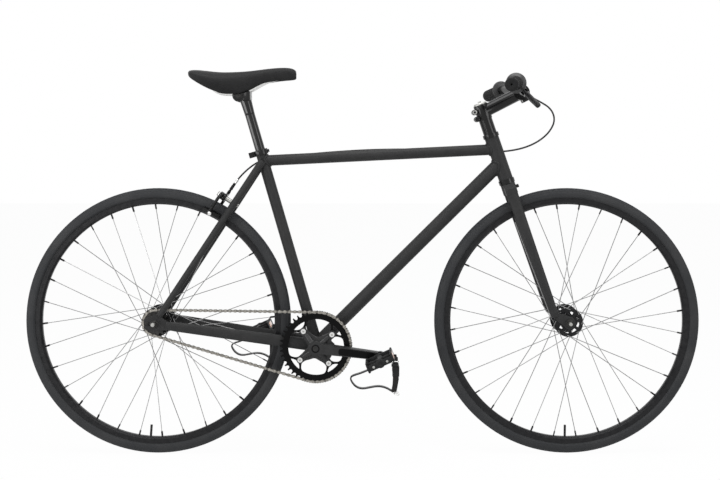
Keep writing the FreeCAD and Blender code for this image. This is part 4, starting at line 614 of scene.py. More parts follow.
saddle_shape = bmesh.new()
rings = [saddle_ring(saddle_shape, *section) for section in saddle_sections]
loops = [ring_edges(saddle_shape, ring) for ring in rings]
for near, far in zip(loops, loops[1:]):
    bmesh.ops.bridge_loops(saddle_shape, edges=near + far)
over_count = len(padding) * 2 - 1
for ring in (rings[0], rings[-1]):
    outer = ring[:over_count]
    inner = ring[over_count:][::-1]
    steps = len(outer) - 1
    for index in range(steps):
        low = index * (len(inner) - 1) // steps
        high = (index + 1) * (len(inner) - 1) // steps
        corners = [outer[index], outer[index + 1], inner[high]]
        saddle_shape.faces.new(corners + ([inner[low]] if low != high else []))

cell_bump(saddle_cover, 700.0, 0.25, 0.0003, saddle_cover["relief"])
saddle = make_piece("saddle_padding", saddle_shape, saddle_cover, "seat", ["saddle"], smooth_angle=75)
rounding = saddle.modifiers.new("rounding", "SUBSURF")
rounding.levels = 2
rounding.render_levels = 2
print("saddle faces:", len(saddle.data.polygons))

# %% [markdown]
# ## Brake cable
# One sleeve leads from the lever to the brake. It leaves the lever's barrel, loops ahead of the head tube to the far
# side, lies over the top tube between two stops and drops to the brake behind the seat tube. A cable keeps its
# length, so it is drawn as a smooth curve through the route's points. The front stretch is held by the handlebar at
# one end and by the frame at the other; here it is set in place and rides on no body.

# %% Lay the cable
cable_radius = 0.0023
front_route = metres([(407.8, -122.7, 925.5), (414.6, -97.8, 921.9), (448, -62, 910), (484, -38, 891),
                      (498, -14, 862), (487, 3, 833), (462, 13, 809), (428, 20, 792), (390, 24.5, 783),
                      (350, 24.5, 779.5), (315, 19.3, 779.5), (285, 18.5, 781)])
rear_route = metres([(285, 18.5, 781), (245, 17.4, 783), (190, 15.6, 785.5), (130, 13, 786.8), (70, 11, 786.5),
                     (10, 9.8, 785), (-50, 10, 781.5), (-110, 11.5, 777), (-165, 14.2, 771.5), (-205, 17.4, 766.8),
                     (-225, 21, 764.8), (-247, 31.5, 762), (-275, 36, 754), (-303, 34.5, 734), (-329.9, 30, 705.6),
                     (-346.4, 30, 680.5)])


def run_length(points):
    return sum((second - first).length for first, second in zip(points, points[1:]))


def along(line, distance):
    """Point at a distance from the start of a line of points."""
    for first, second in zip(line, line[1:]):
        step = (second - first).length
        if distance <= step:
            return first.lerp(second, distance / step)
        distance -= step
    return line[-1]


front_line = spline_points(front_route)
front_cable = swept_piece("brake_cable_loop", front_route, cable_radius, cable_sleeve, None,
                          ["brake_cable_front"])
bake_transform(front_cable)

rear_line = spline_points(rear_route)
rear_cable = swept_piece("brake_cable_run", rear_route, cable_radius, cable_sleeve, "frame",
                         ["brake_cable_rear"])

ferrules = []
for line, start, radius in ((front_line[::-1], 0.0, 3.1), (rear_line[::-1], 0.021, 3.9)):
    near = along(line, start)
    aim = (along(line, start + 0.012) - near).normalized()
    profile = [(2.4, 0), (radius, 0), (radius, 10), (2.7, 12.5), (2.4, 12.5)]
    ferrules.append((profile, near, aim, 20, True))
turned_piece("cable_ferrules", ferrules, bright_steel, "frame")
print("cable lengths:", round(run_length(front_line), 3), round(run_length(rear_line), 3))

# %% [markdown]
# ## Grips
# Each grip is a rubber sleeve with a wide inner flange, shallow ribs for the fingers and a rounded end. All of that
# is turned about the bar's own axis, so a spun profile fits it best.

# %% Turn the grips
bar_centre = Vector((0.4109, 0, 0.9335))
bar_shoulder = Vector((-0.030, 0.160, 0.016))
bar_end = Vector((-0.057, 0.290, 0.005))
grip_length = 122
flange_reach = 0.0125
rib_count = 19
rib_pitch = 5.2


def grip_profile():
    """Outer skin from the inner flange over the ribs to the end, with the hole in its middle."""
    points = [(0, 0), (11.2, 0), (23.5, 0), (25, 0.8), (25.5, 2), (25, 3.4), (23.2, 4.4), (19.5, 7.5), (17.4, 11.5)]
    for rib in range(rib_count):
        low = 14 + rib * rib_pitch
        points += [(15.4, low), (15.4, low + 1.1), (16.4, low + 1.9), (16.5, low + 3.8), (15.8, low + 4.6)]
    end = [(16.5, -6), (16.5, 0), (15.8, 2.2), (14, 3.6), (11, 4), (3.4, 3.7), (2.6, 3), (2.2, -4), (0, -4)]
    return points + [(radius, grip_length + height) for radius, height in end]


# The flange's rubber is glossier than the grip's, and its paler base is painted highlight for the light on the
# flange's face.
flange_rubber_painted_highlight = finish("flange_rubber_painted_highlight", (0.022, 0.022, 0.0222), (0.03, 0.03, 0.0303), 0.3, 0.42, 90, 0.08, shine=0.4)
grip_shape = bmesh.new()
for side in sides.values():
    flip = Vector((1, side, 1))
    axis = ((bar_end - bar_shoulder) * flip).normalized()
    base = bar_centre + bar_end * flip - axis * (grip_length / 1000)
    for face in turned(grip_shape, grip_profile(), base, axis, steps=56):
        if (face.calc_center_median() - base).dot(axis) < flange_reach:
            face.material_index = 1
make_piece("grip_sleeves", grip_shape, [grip_rubber, flange_rubber_painted_highlight], "fork", ["grips"],
           smooth_angle=50)
print("grip axis:", [round(value, 3) for value in axis])

# %% [markdown]
# ## Pedals, clips and straps
# A resin pedal has a barrel on its axle, two toothed cage plates and two end plates, with an amber reflector set
# into each cage plate. A sprung steel clip runs round the toe to a wire loop, and a strap hangs from the cage to that
# loop with its flat side out. The plates are blocks with beveled edges, the clip is a flat band swept along a smooth
# curve, and the strap is a row of quads given thickness.

# %% Build the pedals
amber = finish("amber_reflector", (0.62, 0.17, 0.012), (0.75, 0.24, 0.02), 0.12, 0.2, 60, 0.02, coat=0.8)
cell_bump(amber, 330.0, 0.7, 0.001)
pedal_tilt = math.radians(24)
pedal_start = 81
pedal_width = 92
pedal_half = 35
cage_height = 25
cage_sheet = 5
tooth_count = 9
pedal_eyes = {-1: Vector((0.0458, 0, 0.2620)), 1: Vector((-0.2820, 0, 0.3000))}
barrel_profile = [(0, 3), (6.1, 3), (9.5, 0), (10.5, 1.5), (10.5, 12), (8.8, 14.5), (8.8, 77), (11.2, 79.5),
                  (11.8, 88.5), (11.2, 91.2), (9.5, 92.6), (5, 93), (4.2, 92.2), (0, 92)]


def pedal_frame(side):
    """Matrix from pedal coordinates (ahead, outwards, up) to the bicycle's frame."""
    ahead = Vector((math.cos(pedal_tilt), 0, math.sin(pedal_tilt)))
    rise = Vector((-math.sin(pedal_tilt), 0, math.cos(pedal_tilt)))
    out = across * side
    return axes_matrix(ahead, out, rise, pedal_eyes[side] + out * (pedal_start / 1000))


def cage_plate(shape, ahead, place):
    """Plate of the cage with a row of teeth along its upper and lower edges."""
    top = cage_height / 2
    far = ahead + cage_sheet
    block(shape, (ahead, 0, 3 - top), (far, pedal_width, top - 3), 1, place)
    for index in range(tooth_count):
        low = 2 + index * 9.8
        for base in (top - 4, -top):
            block(shape, (ahead, low, base), (far, low + 5.8, base + 4), 0.8, place)


def make_pedal(word, side):
    body = word + "_pedal"
    place = pedal_frame(side)
    inner = pedal_half - 4
    shape = bmesh.new()
    for ahead in (pedal_half - cage_sheet, -pedal_half):
        cage_plate(shape, ahead, place)
    for low, wide, tall, edge in ((0.8, 5, 6.5, 1.6), (86.2, 5, 6.5, 1.6), (12, 6, 11.2, 2.2), (74, 6, 11.2, 2.2)):
        block(shape, (-inner, low, -tall), (inner, low + wide, tall), edge, place)
    turned(shape, barrel_profile, place.translation, across * side, steps=32)
    make_piece(body + "_cage", shape, moulded_resin, body, [body + "_body"])
    lens = bmesh.new()
    for low in (-pedal_half - 0.2, pedal_half - 1.8):
        block(lens, (low, 23, -7), (low + 2, 69, 7), 0.6, place)
    make_piece(body + "_reflectors", lens, amber, body)
    head = [(0, 0.3), (3.4, 0.3), (3, 1.2), (0, 1.6)]
    spots = [place @ (Vector((ahead, pedal_width - 0.8, -1.5)) / 1000) for ahead in (-18, 18)]
    turned_piece(body + "_screws", [(head, spot, across * side, 20) for spot in spots], dull_steel, body)


for word, side in sides.items():
    make_pedal(word, side)
print("pedal width:", pedal_width, "mm")

# %% Bend the toe clips and hang the straps
clip_bends = [(36.5, -80.5), (28, -75.5), (17, -68.6), (4, -64.5), (-9, -63.8), (-26, -66.8), (-42, -70), (-55, -68),
              (-65.5, -60.5), (-73, -49), (-73.5, -41.5), (-66.5, -36.8)]
clip_rise = -9.5
clip_tip = (37.1, 0, -76.8)
tip_loop = [(-4, 0.6), (4, -2.2), (9, -5.2), (9.5, -7.5), (6, -7.8), (-4, -4.8)]
strap_edges = [(40, 8), (38.5, -4), (34, -20), (27, -42), (19.5, -63), (17, -71), (14, -75.2), (10, -76.2),
               (0, -76.2)]
strap_slope = 25 / 82.5
strap_lean = 0.294
strap_sheet = 0.0022
wire_radius = 0.0011


def pedal_centre(side):
    return pedal_eyes[side] + across * side * ((pedal_start + pedal_width / 2) / 1000)


def make_clip(word, side):
    """Clip band round the toe and the wire loops at its tip that guide the strap."""
    body = word + "_pedal"
    place = pedal_frame(side)
    centre = pedal_centre(side)
    route = [centre + Vector((x, 0, z)) / 1000 for x, z in clip_bends]
    route += [place @ (Vector((ahead - pedal_half, pedal_width / 2, clip_rise)) / 1000) for ahead in (-18, 1)]
    swept_piece(word + "_clip_band", route, (0.014, 0.0034), clip_steel, body, [word + "_toe_clip"])
    tip = centre + Vector(clip_tip) / 1000
    for edge, out in (("inner", -8.5), ("outer", 8.5)):
        loop = [tip + Vector((ahead, out, z)) / 1000 for ahead, z in tip_loop]
        swept_piece(word + "_clip_loop_" + edge, loop, wire_radius, bright_steel, body, closed=True)


def strap_front(z):
    """How far the bowed strap stands ahead of the pedal's centre at a height."""
    return 38.9 - 0.0028 * (z + 35) ** 2


def make_strap(word, side):
    """Strap from the cage's front bar down both sides of the toe and across below the clip's tip."""
    body = word + "_pedal"
    centre = pedal_centre(side)
    shape = bmesh.new()
    rows = []
    for out, z in strap_edges + [(-out, z) for out, z in strap_edges[-2::-1]]:
        wide = 7 if z > -60 else 5.8
        rows.append([shape.verts.new(centre + Vector((strap_front(z) + edge, out, z)) / 1000)
                     for edge in (-wide, 0.8 - wide, wide - 0.8, wide)])
    for first, second in zip(rows, rows[1:]):
        for left in range(3):
            shape.faces.new((first[left], first[left + 1], second[left + 1], second[left]))
    bmesh.ops.recalc_face_normals(shape, faces=shape.faces[:])
    bmesh.ops.solidify(shape, geom=shape.faces[:], thickness=strap_sheet)
    make_piece(word + "_strap_band", shape, strap_hide, body, [word + "_toe_strap"])
    keepers = bmesh.new()
    for hand in (-1, 1):
        lean = Matrix.Rotation(-strap_lean * hand, 4, "X")
        for z, height in ((-3.5, 9), (-21, 26)):
            out = 40 + strap_slope * z
            front = strap_front(z)
            spot = Vector((front, hand * out, z)) / 1000
            place = Matrix.Translation(centre + spot) @ lean @ Matrix.Translation(Vector((front, out, z)) / -1000)
            block(keepers, (front - 8.6, out - 3.4, z - height / 2), (front + 8.6, out + 3.6, z + height / 2), 1.2,
                  place)
    make_piece(word + "_strap_keepers", keepers, moulded_resin, body)
    buckle = [centre + Vector((37 + ahead, side * (43.5 + 0.3 * z), z + 4)) / 1000
              for ahead, z in ((-8.5, -7), (8.5, -7), (8.5, 1), (-8.5, 1))]
    swept_piece(word + "_buckle", buckle, wire_radius, bright_steel, body, closed=True)


for word, side in sides.items():
    make_clip(word, side)
    make_strap(word, side)

# %% [markdown]
# ## Welds
# The tubes meet in smooth, filed welds. Each weld follows the line where one round tube meets another, so that line
# is found point by point round the smaller tube, and a soft bead is swept along it.

# %% Lay the weld beads
shell_centre = Vector((-0.1181, 0, 0.2810))
seat_top = Vector((-0.2655, 0, 0.7849))
seat_cluster = Vector((-0.2573, 0, 0.7571))
top_front = Vector((0.3454, 0, 0.7863))
down_front = Vector((0.3573, 0, 0.7518))
top_radius = 0.014
down_radius = 0.01745
seat_radius = 0.0143
head_radius = 0.0185
shell_radius = 0.020
weld_bead = 0.0032


def weld_line(start, end, radius, post, post_axis, post_radius, count=28):
    """Points where a tube that runs from start to end first meets a post."""
    heading = (end - start).normalized()
    side = heading.cross(across).normalized()
    points = []
    for index in range(count):
        turn = math.tau * index / count
        origin = start + side * radius * math.cos(turn) + across * radius * math.sin(turn)
        flat = heading - post_axis * heading.dot(post_axis)
        gap = origin - post
        gap -= post_axis * gap.dot(post_axis)
        a = flat.length_squared
        b = 2 * flat.dot(gap)
        c = gap.length_squared - post_radius**2
        reach = (-b - math.sqrt(max(b * b - 4 * a * c, 0))) / (2 * a)
        points.append(origin + heading * reach)
    return points


head_post = (Vector((0.5013, 0, 0.3336)), Vector((-0.32557, 0, 0.94552)), head_radius)
seat_post = (shell_centre, (seat_top - shell_centre).normalized(), seat_radius)
shell_post = (shell_centre, across, shell_radius)
middle_top = (top_front + seat_cluster) / 2
middle_down = (down_front + shell_centre) / 2
weld_runs = [weld_line(middle_top, top_front, top_radius, *head_post),
             weld_line(middle_top, seat_cluster, top_radius, *seat_post),
             weld_line(middle_down, down_front, down_radius, *head_post),
             weld_line(middle_down, shell_centre, down_radius, *shell_post),
             weld_line(seat_cluster, shell_centre, seat_radius, *shell_post)]
for index, run in enumerate(weld_runs):
    swept_piece(f"weld_{index}", run, weld_bead, matt_paint, "frame", closed=True)
print("welds:", len(weld_runs))

# %% [markdown]
# ## Roller chain
# Each link has two waisted plates. Inner links carry rollers and outer links carry pins, and they take turns round
# both sprockets. One mesh of each kind is drawn in its own plane, then copied along the rollers' centres, which lie
# on two straight runs and on the sprockets' pitch circles.

# %% Lay the chain
pitch = 0.0127
chain_line = 0.043
ring_teeth = 44
cog_teeth = 16
links = 96
plate_radius = 0.0043
plate_waist = 0.0021
ring_radius = pitch / (2 * math.sin(math.pi / ring_teeth))
cog_radius = pitch / (2 * math.sin(math.pi / cog_teeth))
bright_plate = finish("chain_plate", (0.20, 0.19, 0.17), (0.36, 0.345, 0.315), 0.24, 0.38, 240, 0.05, metallic=1.0)
dark_plate = finish("chain_inside", (0.10, 0.093, 0.083), (0.19, 0.18, 0.16), 0.28, 0.42, 240, 0.08, metallic=0.8)
roller = [(1.8, 0), (3.6, 0), (3.9, 0.3), (3.9, 3), (3.6, 3.3), (1.8, 3.3)]
link_pin = [(0, 0), (1.5, 0), (1.8, 0.3), (1.8, 7.9), (1.5, 8.2), (0, 8.2)]


def toward(angle):
    return Vector((math.cos(angle), 0, math.sin(angle)))


def roller_places():
    """Centres of the rollers, from the cog's upper side forward and round."""
    line = bracket - rear_hub
    heading = math.atan2(line.z, line.x)
    lean = math.asin((ring_radius - cog_radius) / line.length)
    upper = heading + math.pi / 2 + lean
    lower = heading - math.pi / 2 - lean
    run = math.sqrt(line.length**2 - (ring_radius - cog_radius) ** 2) / pitch
    arc = ring_teeth * (math.pi + 2 * lean) / math.tau
    places = []
    for link in range(links):
        if link < run:
            place = rear_hub + toward(upper) * cog_radius + toward(upper - math.pi / 2) * (link * pitch)
        elif link < run + arc:
            place = bracket + toward(upper - (link - run) * math.tau / ring_teeth) * ring_radius
        elif link < 2 * run + arc:
            onward = (link - run - arc) * pitch
            place = bracket + toward(lower) * ring_radius + toward(lower - math.pi / 2) * onward
        else:
            place = rear_hub + toward(lower - (link - 2 * run - arc) * math.tau / cog_teeth) * cog_radius
        places.append(place - across * chain_line)
    return places


def link_plate(shape, inner, outer):
    """Waisted plate between two depths."""
    outline = []
    for middle, first in ((0, 125), (pitch, -55)):
        for step in range(9):
            outline.append(toward(math.radians(first + step * 110 / 8)) * plate_radius + Vector((middle, inner, 0)))
        outline.append(Vector((pitch / 2, inner, plate_waist if middle else -plate_waist)))
    base = shape.faces.new([shape.verts.new(point) for point in outline])
    thicken(shape, [base], across * (outer - inner))


def link_mesh(rollers):
    shape = bmesh.new()
    near = 0.00165 if rollers else 0.00275
    for face in (1, -1):
        link_plate(shape, face * near, face * (near + 0.001))
    for x in (0.0, pitch):
        if rollers:
            turned(shape, roller, Vector((x, -0.00165, 0)), across, 12, close=True)
        else:
            turned(shape, link_pin, Vector((x, -0.0041, 0)), across, 10)
    bmesh.ops.recalc_face_normals(shape, faces=shape.faces[:])
    mesh = bpy.data.meshes.new("chain_link")
    shape.to_mesh(mesh)
    shape.free()
    return mesh


places = roller_places()
for name, first, look in (("chain_inner_links", 0, dark_plate), ("chain_outer_links", 1, bright_plate)):
    pattern = link_mesh(first == 0)
    shape = bmesh.new()
    for index in range(first, links, 2):
        ahead = places[(index + 1) % links] - places[index]
        turn = Matrix.Rotation(-math.atan2(ahead.z, ahead.x), 4, "Y")
        before = len(shape.verts)
        shape.from_mesh(pattern)
        shape.verts.ensure_lookup_table()
        bmesh.ops.transform(shape, matrix=Matrix.Translation(places[index]) @ turn, verts=shape.verts[before:])
    bpy.data.meshes.remove(pattern)
    make_piece(name, shape, look, "frame", ["chain"], smooth_angle=35)
print("chain links:", links, "last gap mm:", round(((places[0] - places[-1]).length - pitch) * 1000, 3))

# %% [markdown]
# ## Stays, blades and dropouts
# The chainstays and the fork blades taper between two oval sections. Each is lofted through many points round the
# oval, so it stays smooth where light runs along it. The fork's dropouts are plates with rounded edges.

# %% Loft the stays and blades


def oval_loft(shape, sections, count=36):
    """Closed skin through oval sections, each (centre, first half axis, second half axis)."""
    rings = []
    for centre, first, second in sections:
        ring = []
        for step in range(count):
            turn = math.tau * step / count
            wide, tall = (math.copysign(abs(value) ** 0.8, value) for value in (math.cos(turn), math.sin(turn)))
            ring.append(shape.verts.new(centre + first * wide + second * tall))
        rings.append(ring)
    for near, far in zip(rings, rings[1:]):
        for step in range(count):
            after = (step + 1) % count
            shape.faces.new((near[step], near[after], far[after], far[step]))
    shape.faces.new(rings[0][::-1])
    shape.faces.new(rings[-1])


def steering_point(ahead, side, height):
    return steering_foot + head_forward * ahead + across * side + head_dir * height


stays = bmesh.new()
chainstay_dir = (bracket - rear_hub).normalized()
upright = Vector((-chainstay_dir.z, 0, chainstay_dir.x))
for side in sides.values():
    front = bracket - chainstay_dir * 0.004 + across * side * 0.0215
    rear = rear_hub + chainstay_dir * 0.030 + across * side * 0.0625
    sections = []
    for share in (0.0, 0.25, 0.5, 0.75, 0.93, 1.0):
        tall = 0.016 - 0.0045 * share - (0.0012 if share == 1.0 else 0)
        wide = 0.0075 - (0.0014 if share == 1.0 else 0)
        sections.append((front.lerp(rear, share), upright * tall, across * wide))
    oval_loft(stays, sections)
make_piece("smooth_chainstays", stays, matt_paint, "frame", ["chainstays"], smooth_angle=60)

blades = bmesh.new()
tip = 0.0155
rake = 0.029
dropout = [(-0.0105, 0.034), (0.0095, 0.034)]
dropout += [(rake + tip * ahead, tip * height) for ahead, height in (
    (0.8, 0.75), (1, 0), (0.85, -0.6), (0.4, -1), (-0.4, -1), (-0.75, -0.6))]
for side in sides.values():
    sections = []
    for share in (0.0, 0.04, 0.25, 0.5, 0.75, 0.94, 1.0):
        trim = 0.002 if share == 0.0 else 0
        middle = steering_point(0, side * (0.0525 - 0.0225 * share), 0.027 + 0.3308 * share)
        sections.append((middle, head_forward * (0.0105 + 0.0045 * share - trim),
                         across * (0.0075 + 0.0025 * share - trim)))
    oval_loft(blades, sections)
    plate = [blades.verts.new(steering_point(ahead, side * 0.0502, height)) for ahead, height in dropout]
    moved = thicken(blades, [blades.faces.new(plate)], across * side * 0.0046)
    bevel(blades, list({edge for vert in plate + moved for edge in vert.link_edges}), 0.0011, 3)
make_piece("smooth_fork_blades", blades, matt_paint, "fork", ["fork_blades"], smooth_angle=50)
print("sections per blade:", len(sections))

# %% [markdown]
# ## Chainring and spider
# The chainring is sawn from sheet: teeth outside, a band inside them, and a pair of curved struts to each bolt. A
# closed spline round a few points gives the windows their rounded corners, and a fill between the outer loop and the
# windows is then given its thickness. The spider is forged, so its arms swell towards the boss and run into each
# other in arches.

# %% Cut the chainring
ring_face = 0.0442
ring_sheet = 0.0024
arm_angle = math.radians(-6.6)
bolt_angles = [arm_angle + math.radians(45 + 90 * index) for index in range(4)]


def polar(angle, radius, depth):
    return bracket + toward(angle) * radius - across * depth


def beside(angle, points, depth):
    """Points given in millimetres along a direction from the bracket and square to it."""
    square = angle + math.pi / 2
    return [polar(angle, u / 1000, depth) + toward(square) * (w / 1000) for u, w in points]


def cut_plate(shape, loops, thickness):
    """Fill the first loop, less the others, and thicken it towards the frame; returns the edges of its face."""
    edges = []
    for loop in loops:
        edges += ring_edges(shape, [shape.verts.new(point) for point in loop])
    filled = bmesh.ops.triangle_fill(shape, use_beauty=True, use_dissolve=False, edges=edges, normal=(0, -1, 0))
    thicken(shape, [item for item in filled["geom"] if isinstance(item, bmesh.types.BMFace)], across * thickness)
    return edges


def tooth_outline():
    """Roller seats and tooth tips round the ring."""
    step = math.tau / ring_teeth
    foremost = max(places, key=lambda place: place.x) - bracket
    first_gap = math.atan2(foremost.z, foremost.x)
    tip_radius = ring_radius + 0.0042
    tip_half = 0.0013 / tip_radius
    points = []
    for gap in range(ring_teeth):
        angle = first_gap + gap * step
        seat = polar(angle, ring_radius, ring_face)
        points += [seat + toward(angle + math.radians(250 - 140 * part / 6)) * 0.004 for part in range(7)]
        points += [polar(angle + step / 2 + turn, tip_radius, ring_face) for turn in (-tip_half, tip_half)]
    return points


inner_points = []
windows = []
band_inside = 0.0713
strut_side = [(57.3, -11.05), (50, -8.6), (43.3, -5), (43.3, 5), (50, 8.6), (57.3, 11.05)]
window_half = [(60.9, 0), (61.0, 5.0), (63.5, 10.5), (66.6, 14.5), (68.6, 16.8), (69.6, 14.6), (70.8, 7.4)]
window_loop = window_half + [(71.2, 0)] + [(u, -w) for u, w in window_half[:0:-1]]
for angle in bolt_angles:
    inner_points += beside(angle, strut_side, ring_face)
    inner_points += [polar(angle + math.radians(lean), band_inside, ring_face)
                     for lean in (19.4, 31, 38, 45, 52, 59, 70.6)]
    windows.append(spline_points(beside(angle, window_loop, ring_face), closed=True))
ring_shape = bmesh.new()
cut_plate(ring_shape, [tooth_outline(), spline_points(inner_points, closed=True)] + windows, ring_sheet)
make_piece("chainring_plate", ring_shape, crank_paint, "crank", ["chainring"])
print("chainring windows:", len(windows) + 1)

# %% Forge the spider
spider_face = 0.0496
rib_depth = 0.0465
rib_cut = 0.0446
# Each arch runs from one arm to the next, as (degrees on from the arm, radius).
arches = [[(26, 31.5), (45, 24.0), (64, 31.5)], [(24, 28.0), (45, 19.0), (66, 28.0)],
          [(26, 34.0), (45, 27.0), (64, 34.0)],
          [(16, 46.0), (23, 45.0), (31, 50.0), (60, 50.0), (68.5, 44.0), (75, 42.5)]]
arm_tip = [(44, -8.9), (54, -9.4), (61.0, -6.5), (61.0, 6.5), (54, 9.4), (44, 8.9)]
outline = []
for angle, arch in zip(bolt_angles, arches):
    outline += beside(angle, arm_tip, spider_face)
    outline += [polar(angle + math.radians(lean), radius / 1000, spider_face) for lean, radius in arch]
spider = bmesh.new()
face_edges = cut_plate(spider, [spline_points(outline, closed=True)], spider_face - ring_face + 0.0001)
bevel(spider, face_edges, 0.0009, 2, clamp=True)
ribs = bmesh.new()
rib_sections = [(8, 9.8, 18.0), (18, 8.6, 14.5), (26, 7.6, 10.5), (34, 6.8, 7.0), (41, 5.6, 4.2), (45, 4.0, 2.6)]
for angle in bolt_angles:
    square = toward(angle + math.pi / 2)
    oval_loft(ribs, [(polar(angle, u / 1000, rib_depth), square * (wide / 1000), across * (deep / 1000))
                     for u, wide, deep in rib_sections], 28)
bmesh.ops.bisect_plane(ribs, geom=ribs.verts[:] + ribs.edges[:] + ribs.faces[:], plane_co=(0, -rib_cut, 0),
                       plane_no=(0, 1, 0), clear_outer=True)
bmesh.ops.holes_fill(ribs, edges=[edge for edge in ribs.edges if edge.is_boundary])
make_piece("spider_ribs", ribs, forged_black_painted_highlight, "crank", smooth_angle=60)
make_piece("spider_plate", spider, forged_black_painted_highlight, "crank")
print("rib sections:", len(rib_sections))

# %% Lay dark panels of painted shade on the crank arms' faces and cap the spindle
crank_length = 0.165
panel_depth = 0.07125
panel_slope = 0.007
panel_half = [(58.5, 4), (62, 8.5), (75, 8.8), (110, 8.3), (146, 7.7), (151, 6.4)]
panel_loop = panel_half + [(153, 0)] + [(u, -w) for u, w in panel_half[::-1]]
lip = [(7.2, 70.5), (7.2, 71.6), (7.8, 71.9), (9.8, 71.9), (10.4, 71.4), (10.4, 70.5)]
# Each panel is a thin deep-black sheet over the arm's flat face: painted shade for the dark reflection on that face,
# set against the paler arm.
panel = bmesh.new()
for side in sides.values():
    angle = arm_angle + (math.pi if side > 0 else 0)
    points = [point + across * (side * (panel_depth + panel_slope * (point - bracket).length / crank_length))
              for point in beside(angle, panel_loop, 0)]
    cut_plate(panel, [spline_points(points, closed=True)], -side * 0.0006)
make_piece("crank_face_shade_panels", panel, crank_paint, "crank")
turned_piece("spindle_caps", [(lip, bracket, across * side, 40, True) for side in sides.values()], crank_paint,
             "crank")
print("crank panels:", len(sides))

# %% [markdown]
# ## Rear brake
# The brake's arms are forged bows: each leaves the pivot, turns over the tyre and comes down to its pad. They are
# lofted along a curve with an oval section. The pads are rubber blocks held by plated bolts, and a knurled barrel
# with a plated ferrule takes up the cable.

# %% Build the brake
pad_rubber = finish("pad_rubber", (0.012, 0.012, 0.012), (0.02, 0.02, 0.02), 0.6, 0.75, 180, 0.3, shine=0.12)
bridge = Vector((-0.33138, 0, 0.64412))
pad_drop = -0.05083
arm_reach = 0.034
arm_spots = [(0, 0), (16, 6), (30, 3), (36.5, -12), (36, -30), (34, -46), (34, -54.5)]
lug_spots = [(0, 0), (12, 3), (22, 5.5), (32.5, 6.2)]
pivot_disc = [(3.1, -4.4), (9.2, -4.4), (10, -3.6), (10, 3.6), (9.2, 4.4), (3.1, 4.4)]
pad_boss = [(0, -6.2), (5.6, -6.2), (6.4, -5.4), (6.4, 5.4), (5.6, 6.2), (0, 6.2)]
pad_post = [(0, 19.5), (4, 19.5), (4, 40.2), (5.2, 40.4), (5.2, 42.4), (4.6, 44.2), (2.4, 44.5), (2, 43.2), (0, 43.2)]


def brake_point(side, up, back):
    return bridge + across * side + stay_dir * up + stay_back * back


def bow(shape, spots, back, first_width, last_width):
    """Arm along a curve through spots (aside, up) in the brake's plane, in millimetres."""
    line = spline_points([(side / 1000, up / 1000, 0) for side, up in spots])
    last = len(line) - 1
    sections = []
    for index, spot in enumerate(line):
        run = (line[min(index + 1, last)] - line[max(index - 1, 0)]).normalized()
        wide = first_width + (last_width - first_width) * index / last
        normal = across * -run.y + stay_dir * run.x
        sections.append((brake_point(spot.x, spot.y, back), normal * wide, stay_back * 0.0042))
    oval_loft(shape, sections, 20)


pad_centre = brake_point(0, pad_drop, 0.038)
radial = (pad_centre - rear_hub).normalized()
for word, back, boss_back in (("right", 0.0419, 0.0402), ("left", 0.0325, 0.035)):
    side = sides[word]
    body = word + "_caliper"
    replaced = [body + "_arm"]
    arms = bmesh.new()
    bow(arms, [(side * out, up) for out, up in arm_spots], back, 0.0068, 0.0058)
    bow(arms, [(out, side * up) for out, up in lug_spots], back, 0.0066, 0.0055)
    turned(arms, pivot_disc, brake_point(0, 0, back), stay_back, steps=36, close=True)
    turned(arms, pad_boss, brake_point(side * arm_reach, pad_drop, boss_back), stay_back, steps=28)
    make_piece(word + "_brake_bow", arms, gloss_paint, body, replaced, smooth_angle=50)
    pad = bmesh.new()
    place = axes_matrix(radial.cross(across), across * side, radial, pad_centre)
    block(pad, (-25, 12.9, -4.5), (25, 17.2, 4.5), 1.3, place)
    block(pad, (-23.5, 17.2, -3.8), (23.5, 19.9, 3.8), 1, place)
    make_piece(word + "_brake_pad", pad, pad_rubber, body, replaced)
    turned_piece(word + "_pad_bolt", [(pad_post, pad_centre, across * side, 28)], bright_steel, body,
                 replaced)

knurl = [(0, 0), (4.2, 0), (4.5, 0.6), (4.5, 4)]
for ring in range(5):
    low = 5 + ring * 2.4
    knurl += [(4, low), (4.5, low + 0.6), (4.5, low + 1.6), (4, low + 2)]
knurl += [(3.6, 19.5), (3.1, 22), (0, 22)]
turned_piece("cable_barrel", [(knurl, brake_point(0.030, 0, 0.0325), stay_dir, 28)], gloss_paint, "left_caliper",
             ["left_caliper_arm"])
anchor = [(0, 0), (4.5, 0), (4.5, 3), (3.8, 4.2), (0, 4.6)]
turned_piece("cable_anchor", [(anchor, brake_point(0.030, -0.0065, 0.0462), stay_back, 6)], bright_steel,
             "right_caliper", ["right_caliper_arm"])
dome = [(0, 0), (6.2, 0), (6.2, 1.6), (5.6, 3.4), (3.2, 5.6), (0, 6.2)]
turned_piece("pivot_cap_nut", [(dome, brake_point(0, 0, 0.0466), stay_back, 24)], bright_steel, "frame")
cable_end = rear_line[::-1]
aim = (along(cable_end, 0.02) - cable_end[0]).normalized()
boot = [(0, 0), (2.3, 0), (4.2, 0.8), (4.4, 4), (3.8, 7), (4.3, 10), (3.6, 14), (4, 17), (3.3, 20.5), (2.3, 21),
        (0, 21)]
turned_piece("cable_boot", [(boot, cable_end[0], aim, 20)], moulded_resin, "frame")

# %% [markdown]
# ## Saddle rails and clamp
# The rails are plated rods: straight where the clamp grips them, bent up into the shell at both ends. The clamp's
# cheeks are round forgings with a bolt across, and they show beside the post below the skirt.

# %% Bend the rails and turn the cheeks
rail_bends = [(-419.5, 25, 973), (-397, 23, 953), (-376, 21, 933), (-359, 21, 929), (-325, 21, 929), (-306, 21, 930),
              (-283, 19, 941.5), (-260, 15, 955), (-230, 10, 968), (-184, 6, 973.5)]
for word, side in sides.items():
    swept_piece(word + "_saddle_rail", metres([(x, side * y, z) for x, y, z in rail_bends]), 0.0035, bright_steel,
                "seat", ["saddle_rails"], resolution=4)

